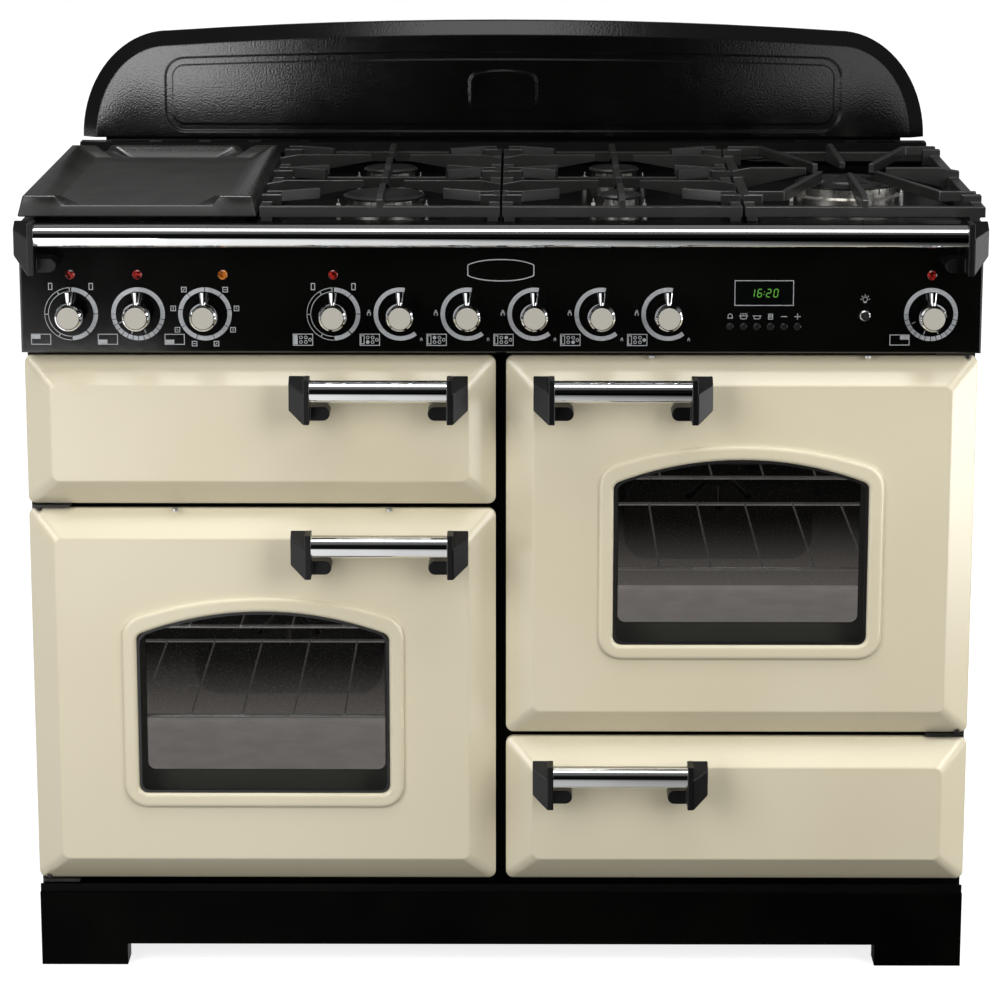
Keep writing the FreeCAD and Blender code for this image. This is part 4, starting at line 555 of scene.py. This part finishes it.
# the griddle's sides lean in from a wide foot, with a broad slope down to the plate, a low front
# between two posts and a pouring notch at each rear corner
low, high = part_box("griddle")
lean, rim_width, plate_rise = 0.006, 0.007, 0.010
side_slope, back_slope, front_slope = 0.026, 0.014, 0.010
post, post_slope, front_drop = 0.036, 0.008, 0.011
notch, notch_width, notch_slope, notch_drop = 0.026, 0.018, 0.004, 0.008
cuts = [(post, 0.0), (post + post_slope, front_drop)]
dips = [(notch, 0.0), (notch + notch_slope, notch_drop), (notch + notch_width, notch_drop),
        (notch + notch_width + notch_slope, 0.0)]
plate = bmesh.new()
rings = []
for sides, back, front, z, cut in ((0.0, 0.0, 0.0, low.z, 0.0), (lean, lean, lean, high.z, 1.0),
                                   (lean + rim_width,) * 3 + (high.z, 1.0),
                                   (lean + rim_width + side_slope, lean + rim_width + back_slope,
                                    lean + rim_width + front_slope, low.z + plate_rise, 0.0)):
    left, right = low.x + sides, high.x - sides
    fore = [(left, 0.0)] + [(left + along, drop) for along, drop in cuts]
    fore += [(right - along, drop) for along, drop in reversed(cuts)] + [(right, 0.0)]
    rear = [(right, 0.0)] + [(right - along, drop) for along, drop in dips]
    rear += [(left + along, drop) for along, drop in reversed(dips)] + [(left, 0.0)]
    rings.append([plate.verts.new((x, low.y + front, z - cut * drop)) for x, drop in fore]
                 + [plate.verts.new((x, high.y - back, z - cut * drop)) for x, drop in rear])
for lower, upper in zip(rings, rings[1:]):
    for turn in range(len(lower)):
        plate.faces.new((lower[turn - 1], lower[turn], upper[turn], upper[turn - 1]))
plate.faces.new(rings[0])
plate.faces.new(rings[-1])
bmesh.ops.recalc_face_normals(plate, faces=plate.faces)
folds = [edge for edge in plate.edges if edge.calc_face_angle() > radians(20.0)]
bmesh.ops.bevel(plate, geom=folds, offset=casting_edge, segments=3, profile=0.5,
                affect="EDGES", material=-1)

# the plate is duller than the rim round it
rim_depth = 0.004
griddle_iron, place = start_finish("griddle_iron")
sand = place.noise(380.0, 3.0)
on_rim = place.axes()[2].fade(low.z + plate_rise, high.z - rim_depth)
lay_finish(griddle_iron, place, {
    "Base Color": iron_tone(place), "Specular IOR Level": 0.4,
    "Roughness": sand * 0.12 + 0.46 - on_rim * 0.26, "Normal": sand.bump(0.00002),
}, "griddle")
griddle = add_piece("griddle_casting", plate, griddle_iron, "griddle_plate")
smooth(griddle)
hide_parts("griddle")


# Control panel: a gloss black fascia folded from enamelled sheet and screwed to the front frame. The
# knobs and buttons come through it.
fascia, place = start_finish("fascia_gloss")
flow = place.noise(90.0, 1.0)
lay_finish(fascia, place, {
    "Base Color": place.noise(6.0).vary(colour(7, 7, 6), colour(11, 11, 10)),
    "Roughness": place.noise(22.0) * 0.05 + 0.07, "Normal": flow.bump(0.00002, 0.001),
}, "control_panel")


# Panel print: silver-grey screen printing on the fascia: a dial round each knob, a plan of the hob
# or the ovens beside it, the timer and lamp signs, and a plain oval rim in the middle.
ink, place = start_finish("print_ink")
wear = place.noise(260.0, 2.0)
lay_finish(ink, place, {
    "Base Color": wear.fade(0.2, 0.8).blend(colour(158, 160, 163), colour(178, 180, 182)),
    "Metallic": 0.25, "Roughness": wear * 0.1 + 0.38,
})
print_depth = 0.00025
ring_inner, ring_outer = 0.0255, 0.0305
sign_line, fine_line, hair_line = 0.0009, 0.0008, 0.0007


def print_arc(form, x, z, inner, outer, start, turn):
    """A printed band round a point, from one angle through a turn, both in degrees."""
    spread = (cos(radians(start)), sin(radians(start)))
    ends = [form.verts.new((x + r * spread[0], z + r * spread[1], 0.0)) for r in (inner, outer)]
    bmesh.ops.spin(form, geom=ends + [form.edges.new(ends)], cent=(x, z, 0.0), axis=(0.0, 0.0, 1.0),
                   angle=radians(turn), steps=max(3, int(turn / 6)), use_merge=turn == 360)


def print_bar(form, x, z, width, height, tilt=0.0):
    lie = Matrix.Translation((x, z, 0.0)) @ Matrix.Rotation(radians(tilt), 4, "Z")
    bmesh.ops.create_grid(form, x_segments=1, y_segments=1, size=0.5,
                          matrix=lie @ Matrix.Diagonal((width, height, 1.0, 1.0)))


def print_box(form, x, z, width, height):
    """The outline of a box."""
    for side in (-1, 1):
        print_bar(form, x, z + side * (height - sign_line) / 2, width, sign_line)
        print_bar(form, x + side * (width - sign_line) / 2, z, sign_line, height - 2 * sign_line)


def print_dot(form, x, z, radius, sides):
    bmesh.ops.create_circle(form, cap_ends=True, segments=sides, radius=radius,
                            matrix=Matrix.Translation((x, z, 0.0)))


def lay_print(name, form, finish, proud=0.0):
    """Stands the flat print up on the fascia and gives it its thickness."""
    stand = Matrix.Translation((0.0, door_face - proud, 0.0)) @ Matrix.Rotation(radians(90.0), 4, "X")
    flat = bmesh.ops.extrude_face_region(form, geom=form.faces[:])
    raised = [part for part in flat["geom"] if isinstance(part, bmesh.types.BMVert)]
    bmesh.ops.translate(form, verts=raised, vec=(0.0, 0.0, print_depth))
    bmesh.ops.transform(form, matrix=stand, verts=form.verts)
    return add_piece(name, form, finish, "carcass")


def knob_place(name):
    """How far along the panel a knob or button sits."""
    low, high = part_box(name)
    return (low.x + high.x) / 2


dials = bmesh.new()
dial_z = 0.786
gas_knobs = ["knob_burner_%d" % number for number in range(1, 6)]
for name in ("knob_grill", "knob_hotplate"):
    x = knob_place(name)
    for start, turn in ((-88.0, 38.0), (-47.0, 46.0), (1.0, 46.0), (49.0, 39.0)):
        print_arc(dials, x, dial_z, ring_inner, ring_outer, start, turn)
    for radius in (ring_inner, ring_outer - hair_line):
        print_arc(dials, x, dial_z, radius, radius + hair_line, 90.0, 180.0)
    for angle in (92.0, 120.0, 180.0, 240.0):
        print_arc(dials, x, dial_z, ring_inner, ring_outer, angle, 2.0)
    for side in (-1, 1):
        print_box(dials, x + side * 0.0230, dial_z + 0.0315, 0.0048, 0.0080)
heat_ticks, tick_gap = 14, 1.6
for name in ("knob_left_heat", "knob_right_heat"):
    x = knob_place(name)
    print_arc(dials, x, dial_z, ring_inner, ring_outer, 0.0, 180.0)
    for tick in range(heat_ticks):
        print_arc(dials, x, dial_z, ring_inner, ring_outer,
                  181.0 + tick * 180.0 / heat_ticks, 180.0 / heat_ticks - tick_gap)
    for angle in (205.0, 250.0, 290.0):
        print_arc(dials, x, dial_z, 0.0195, 0.0240, angle, 2.2)
settings, setting_ring, setting_box = 9, 0.0365, 0.0062
x = knob_place("knob_left_mode")
for setting in range(settings):
    angle = 90.0 + setting * 360.0 / settings
    print_arc(dials, x, dial_z, ring_inner, ring_outer, angle + 0.8, 38.4)
    if setting:
        across = x + setting_ring * cos(radians(angle))
        up = dial_z + setting_ring * sin(radians(angle))
        print_box(dials, across, up, setting_box, setting_box)
        print_bar(dials, across, up, 0.0030, sign_line, setting * 45.0)
for name in gas_knobs:
    x = knob_place(name)
    print_arc(dials, x, dial_z, ring_inner, ring_outer, 80.0, 227.5)
    for across, up, size in ((-0.0358, 0.0, 1.0), (0.0235, -0.0300, 0.6)):
        print_arc(dials, x + across, dial_z + up, 0.0014 * size, 0.0024 * size, -50.0, 280.0)
        for side in (-1, 1):
            print_bar(dials, x + across + side * 0.0010 * size, dial_z + up + 0.0030 * size,
                      sign_line, 0.0038 * size, side * 24.0)

# a plan of the fronts beside each oven knob, and a plan of the hob beside the others
plan_offset = 0.035
signs = {"knob_grill": (-1, 1), "knob_left_heat": (-1, -1),
         "knob_left_mode": (-1, -1), "knob_right_heat": (1, 1)}
for name, (across, up) in signs.items():
    x, z = knob_place(name) - plan_offset, dial_z - 0.0293
    print_box(dials, x, z, 0.0228, 0.0125)
    print_bar(dials, x + across * 0.0056, z + up * 0.0031, 0.0100, 0.0052)
burner_rings = ((-0.0024, -0.0026), (-0.0024, 0.0026), (0.0032, 0.0026), (0.0032, -0.0026), (0.0080, 0.0))
for number, name in enumerate(["knob_hotplate"] + gas_knobs):
    x, z = knob_place(name) - plan_offset, dial_z - 0.0296
    print_box(dials, x, z, 0.0230, 0.0138)
    if number:
        print_box(dials, x - 0.0082, z, 0.0044, 0.0104)
    else:
        print_bar(dials, x - 0.0082, z, 0.0044, 0.0110)
    for burner, (across, up) in enumerate(burner_rings, 1):
        inner = 0.0002 if burner == number else 0.0012
        print_arc(dials, x + across, z + up, inner, 0.0020, 0.0, 360)

# the timer signs in the order bell, two pots, hand, minus and plus
first = knob_place("timer_button_1")
pitch = 0.0153
row = 0.7835
print_arc(dials, first, row + 0.0008, 0.0019, 0.0027, 0.0, 180.0)
for side in (-1, 1):
    print_bar(dials, first + side * 0.0023, row - 0.0004, fine_line, 0.0026)
print_bar(dials, first, row - 0.0018, 0.0064, fine_line)
for pot in (1, 2):
    x = first + pot * pitch
    print_bar(dials, x, row - 0.0026, 0.0066, fine_line)
    print_bar(dials, x, row + 0.0008, 0.0100, fine_line)
    for side in (-1, 1):
        print_bar(dials, x + side * 0.0034, row - 0.0009, fine_line, 0.0028)
for steam in range(-2, 3):
    print_bar(dials, first + pitch + steam * 0.0018, row + 0.0029, 0.0006, 0.0022, -12.0)
print_box(dials, first + 3 * pitch, row - 0.0003, 0.0056, 0.0062)
for finger in range(-1, 2):
    print_bar(dials, first + 3 * pitch + finger * 0.0016, row + 0.0012, fine_line, 0.0048)
for sign in (4, 5):
    print_bar(dials, first + sign * pitch, row, 0.0070, sign_line)
for side in (-1, 1):
    print_bar(dials, first + 5 * pitch, row + side * 0.0020, sign_line, 0.0031)

# the lamp sign over the light button, the box round the clock and the oval rim
x, z = knob_place("light_button"), 0.8035
print_arc(dials, x, z, 0.0022, 0.0030, -50.0, 280.0)
print_bar(dials, x, z - 0.0033, 0.0036, 0.0016)
for ray in range(5):
    print_arc(dials, x, z, 0.0040, 0.0054, ray * 45.0 - 6.0, 12.0)
clock_x, clock_z = 0.2985, 0.8105
print_box(dials, clock_x, clock_z, 0.0672, 0.0292)
oval_sides, oval_width = 48, 0.0012
oval_half, oval_rise, oval_z = 0.0380, 0.0128, 0.8364
rims = []
for inner in (0.0, oval_width):
    rims.append([])
    for corner in range(oval_sides):
        angle = 2 * pi * corner / oval_sides
        across = max(-1.0, min(1.0, 1.32 * cos(angle)))
        up = sin(angle) * (1.0 - 0.22 * across ** 4)
        spot = ((oval_half - inner) * across, oval_z + (oval_rise - inner) * up, 0.0)
        rims[-1].append(dials.verts.new(spot))
for corner in range(oval_sides):
    dials.faces.new((rims[0][corner - 1], rims[0][corner], rims[1][corner], rims[1][corner - 1]))
lay_print("panel_print", dials, ink)


# Knobs: chromed die-castings pushed on the tap and switch shafts, each with a satin face let into
# the front and a dark groove round it.
face_depth, groove_depth = -0.0325, -0.0316
knob_chrome, place = start_finish("knob_chrome")
depth = place.axes()[1] - door_face
face = depth < face_depth
groove = (depth > face_depth) * (depth < groove_depth)
metal = face.blend(colour(226, 227, 228), colour(180, 176, 166))
brushed = place.noise(160.0, 4.0)
knobs = [name for name in nodes if name.startswith("knob_")]
lay_finish(knob_chrome, place, {
    "Base Color": groove.blend(metal, colour(44, 44, 43)),
    "Metallic": 1 - face, "Roughness": face * 0.35 + (brushed * 0.04 + 0.03),
}, *knobs)


# Panel fittings: jewelled warning lamps in bright rings, the clock window and the bezel of the light
# switch. The jewels carry painted glints and a painted shade band at their foot, so that they sparkle
# unlit.
lamp_bottom, amber_x, lamp_reach, clock_reach, ring_height = 0.825, -0.315, 0.012, 0.05, 0.0014
fittings, place = start_finish("panel_lenses")
x, y, z = place.axes()
lamp_row = z > lamp_bottom
amber = lamp_row * (abs(x - amber_x) < lamp_reach)
# painted glints: light and dark cells in the jewels' colour stand in for sparkle from moulded facets
glint_cells = place.node("TexVoronoi", {}, {"Vector": place, "Scale": 420.0}, "Color")
spark = glint_cells.node("SeparateColor", {}, {"Color": glint_cells})
clock = (abs(x - clock_x) < clock_reach) * (1 - lamp_row)
# painted shade: the band of each jewel next to the panel takes a plain, dimmer red or amber without
# glints
ring = y > door_face - ring_height
red = spark.fade(0.1, 0.95).blend(colour(44, 4, 3), colour(168, 36, 28))
orange = spark.fade(0.1, 0.95).blend(colour(104, 40, 6), colour(216, 134, 50))
jewel = ring.blend(amber.blend(red, orange), amber.blend(colour(70, 12, 8), colour(130, 70, 24)))
lay_finish(fittings, place, {
    "Base Color": lamp_row.blend(clock.blend(colour(210, 212, 214), colour(7, 8, 8)), jewel),
    "Metallic": (1 - lamp_row) * (1 - clock), "Roughness": spark * 0.1 + 0.08,
}, "panel_fittings")


# Clock: four plain figures of green light segments behind the window, leaning a little to the
# right, on a small lamp module behind the panel.
clock_light, place = start_finish("clock_light")
flicker = place.noise(900.0, 1.0)
lay_finish(clock_light, place, {
    "Base Color": colour(40, 80, 30), "Roughness": 0.4, "Emission Strength": 0.4,
    "Emission Color": flicker.fade(0.2, 0.8).blend(colour(96, 190, 60), colour(140, 226, 92)),
})
segments = {"top": (0.0, 1.0, 1), "middle": (0.0, 0.0, 1), "bottom": (0.0, -1.0, 1),
            "upper_left": (-1.0, 0.5, 0), "upper_right": (1.0, 0.5, 0),
            "lower_left": (-1.0, -0.5, 0), "lower_right": (1.0, -0.5, 0)}
dark_segments = {1: ("top", "middle", "bottom", "upper_left", "lower_left"), 6: ("upper_right",),
                 2: ("upper_left", "lower_right"), 0: ("middle",)}
figures = bmesh.new()
figure_half, figure_rise, figure_pitch, colon_gap = 0.0022, 0.0044, 0.0082, 0.001
slant = 0.14
for digit, figure in enumerate((1, 6, 2, 0)):
    middle = clock_x + (digit - 1.5) * figure_pitch + (colon_gap if digit > 1 else -colon_gap)
    for name, (across, up, lying) in segments.items():
        if name in dark_segments[figure]:
            continue
        lean = up * figure_rise * slant
        size = (0.0034, 0.0011) if lying else (0.0011, 0.0036)
        print_bar(figures, middle + across * figure_half + lean, clock_z + up * figure_rise, *size,
                  0.0 if lying else -8.0)
for up in (-1, 1):
    print_dot(figures, clock_x + up * 0.0003, clock_z + up * 0.0016, 0.0006, 8)
lay_print("clock_figures", figures, clock_light, 0.0004)


# Buttons: six small moulded black timer buttons and the chromed push switch of the oven light, each
# sprung in its own hole in the panel.
button_black, place = start_finish("button_black")
wear = place.noise(200.0)
lay_finish(button_black, place, {
    "Base Color": wear.vary(colour(14, 14, 14), colour(24, 24, 24)),
    "Roughness": wear * 0.1 + 0.25,
}, *[name for name in nodes if name.startswith("timer_button")])

button_chrome, place = start_finish("button_chrome")
wear = place.noise(200.0)
lay_finish(button_chrome, place, {
    "Base Color": wear.vary(colour(196, 196, 194), colour(214, 214, 212)),
    "Metallic": 1.0, "Roughness": wear * 0.1 + 0.15,
}, "light_button")


# Gas rail, taps and switches: turned brass taps screwed into the rail behind the panel, out of
# sight, with the inlet at the rear.
brass, place = start_finish("tap_brass")
tarnish = place.noise(45.0, 3.0)
lay_finish(brass, place, {
    "Base Color": tarnish.vary(colour(176, 140, 78), colour(206, 172, 104)),
    "Metallic": 1.0, "Roughness": tarnish * 0.25 + 0.22,
}, "taps_and_switches")


# Splashback: a black pressing along the rear of the hob, finished in a coarse orange-peel enamel
# that breaks the light into a soft sparkle.
peel_enamel, place = start_finish("peel_enamel")
peel = place.noise(420.0, 2.0)
lay_finish(peel_enamel, place, {
    "Base Color": place.noise(10.0).vary(colour(8, 8, 7), colour(13, 13, 12)),
    "Roughness": place.noise(60.0) * 0.05 + 0.09, "Normal": peel.bump(0.0001, 0.003),
}, "splashback")


# Floor: a wide white sheet that meets the white room behind, and keeps a pale shadow. Bright metal
# mirrors it only near the cooker and on the left, as if dark cloths lay on the rest.
floor_size = 12.0
floor_mesh = bpy.data.meshes.new("floor")
sheet = bmesh.new()
bmesh.ops.create_grid(sheet, x_segments=1, y_segments=1, size=floor_size)
sheet.to_mesh(floor_mesh)
sheet.free()
floor = bpy.data.objects.new("floor", floor_mesh)
bpy.context.collection.objects.link(floor)
floor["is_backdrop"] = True
paper, place = start_finish("floor_paper")
path = place.node("LightPath", out="Is Camera Ray")
mirrored = path.other("Is Glossy Ray")
away = place.node("VectorMath", {"operation": "LENGTH"}, {0: place}, 1)
across, back = place.axes()[:2]
near = (back - across * 2.2).fade(-2.6, -0.6)
glare = 3.0
shine = mirrored * near * ((0.0 - across).fade(-0.6, 1.0) * 0.42 + 0.08)
seen = path * (away.fade(0.9, 2.4) * 0.07 + 0.27) + shine
paper_tone = path.blend(colour(105, 104, 102), colour(242, 242, 242))
lit = place.node("BsdfDiffuse", {}, {"Color": mirrored.blend(paper_tone, colour(0, 0, 0))})
white = place.node("Emission", {}, {"Color": colour(255, 255, 255), "Strength": glare})
shown = place.node("MixShader", {}, {0: seen, 1: lit, 2: white})
place.node("OutputMaterial", {}, {"Surface": shown})
floor_mesh.materials.append(paper)


# Studio light: a softbox on each side in front, two low strips at the left, a tall softbox at the
# right side and a wide one above. The room is white to the camera, and dark in front.
def softbox(name, spot, target, width, height, level):
    """A soft lamp at a spot, turned to a target, with its brightness as a level."""
    lamp = bpy.data.lights.new(name, "AREA")
    lamp.shape = "RECTANGLE"
    lamp.size, lamp.size_y = width, height
    lamp.energy = level * pi * width * height
    light = bpy.data.objects.new(name, lamp)
    light.location = spot
    light.rotation_euler = (Vector(target) - Vector(spot)).to_track_quat("-Z", "Y").to_euler()
    bpy.context.collection.objects.link(light)
    light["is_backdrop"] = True
    return light


wide = [softbox("key_softbox", (-1.95, -2.2, 1.6), (-0.6, 0.0, 0.7), 1.6, 2.0, 4.4),
        softbox("fill_softbox", (1.9, -2.3, 1.6), (0.6, 0.0, 0.7), 1.4, 1.8, 5.2),
        softbox("top_softbox", (-0.2, -0.95, 3.0), (0.0, -0.2, 0.8), 2.6, 0.9, 5.0),
        softbox("rim_softbox", (2.4, -0.45, 0.75), (0.4, -0.3, 0.6), 0.8, 1.5, 6.0)]
softbox("left_strip", (-1.35, -2.3, 0.38), (-1.1, 0.0, 0.6), 0.9, 0.4, 2.0)
softbox("low_strip", (-1.05, -2.35, 0.2), (-0.9, 0.0, 0.3), 0.9, 0.3, 3.0)

# the splashback is shaded from the wide lamps and has three smaller ones of its own
shaded, own = bpy.data.collections.new("shaded"), bpy.data.collections.new("own_light")
for group in (shaded, own):
    group.objects.link(nodes["splashback"])
shaded.collection_objects[0].light_linking.link_state = "EXCLUDE"
for lamp in wide:
    lamp.light_linking.receiver_collection = shaded
for lamp in (softbox("left_sheen", (-1.12, -2.3, 1.2), (-1.12, 0.0, 1.2), 1.2, 1.3, 7.0),
             softbox("right_sheen", (1.15, -2.3, 1.2), (1.15, 0.0, 1.2), 1.2, 1.3, 1.6),
             softbox("top_sheen", (-0.05, -0.95, 3.0), (0.0, 0.2, 0.8), 0.5, 0.9, 2.4)):
    lamp.light_linking.receiver_collection = own

# the iron castings have a lamp of their own from above, which draws the sheen along their edges
castings = bpy.data.collections.new("castings")
for casting in [nodes[support] for support in supports] + [griddle]:
    castings.objects.link(casting)
casting_sheen = softbox("casting_sheen", (-0.3, -0.6, 2.6), (0.0, 0.0, 0.93), 2.2, 0.5, 16.0)
casting_sheen.light_linking.receiver_collection = castings

room = bpy.data.worlds.new("room")
room.use_nodes = True
room.node_tree.nodes.clear()
direction = Wire(room.node_tree).node("TexCoord", out="Generated")
y, z = direction.axes()[1:]
front = (0.0 - y).fade(0.2, 0.75) * (1 - z.fade(0.4, 0.75))
path = direction.node("LightPath", out="Is Camera Ray")
level = path.sum("MAXIMUM", path, 0.17 - front * 0.165)
glow = direction.node("Background", {}, {"Color": colour(255, 255, 255), "Strength": level})
direction.node("OutputWorld", {}, {"Surface": glow})
bpy.context.scene.world = room


# Camera: a long lens a little above the hob and almost square to the front, tilted down so that the
# hob and the plinth both show.
tilt_down, turn_left = 12.78, 0.30
lens = bpy.data.cameras.new("camera")
lens.sensor_width = 36.0
lens.lens = 128.56
camera = bpy.data.objects.new("camera", lens)
camera.location = (0.020, -4.277, 1.477)
camera.rotation_euler = (radians(90.0 - tilt_down), 0.0, radians(turn_left))
bpy.context.collection.objects.link(camera)
bpy.context.scene.camera = camera
bpy.context.scene.view_settings.view_transform = "Standard"

low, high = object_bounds()
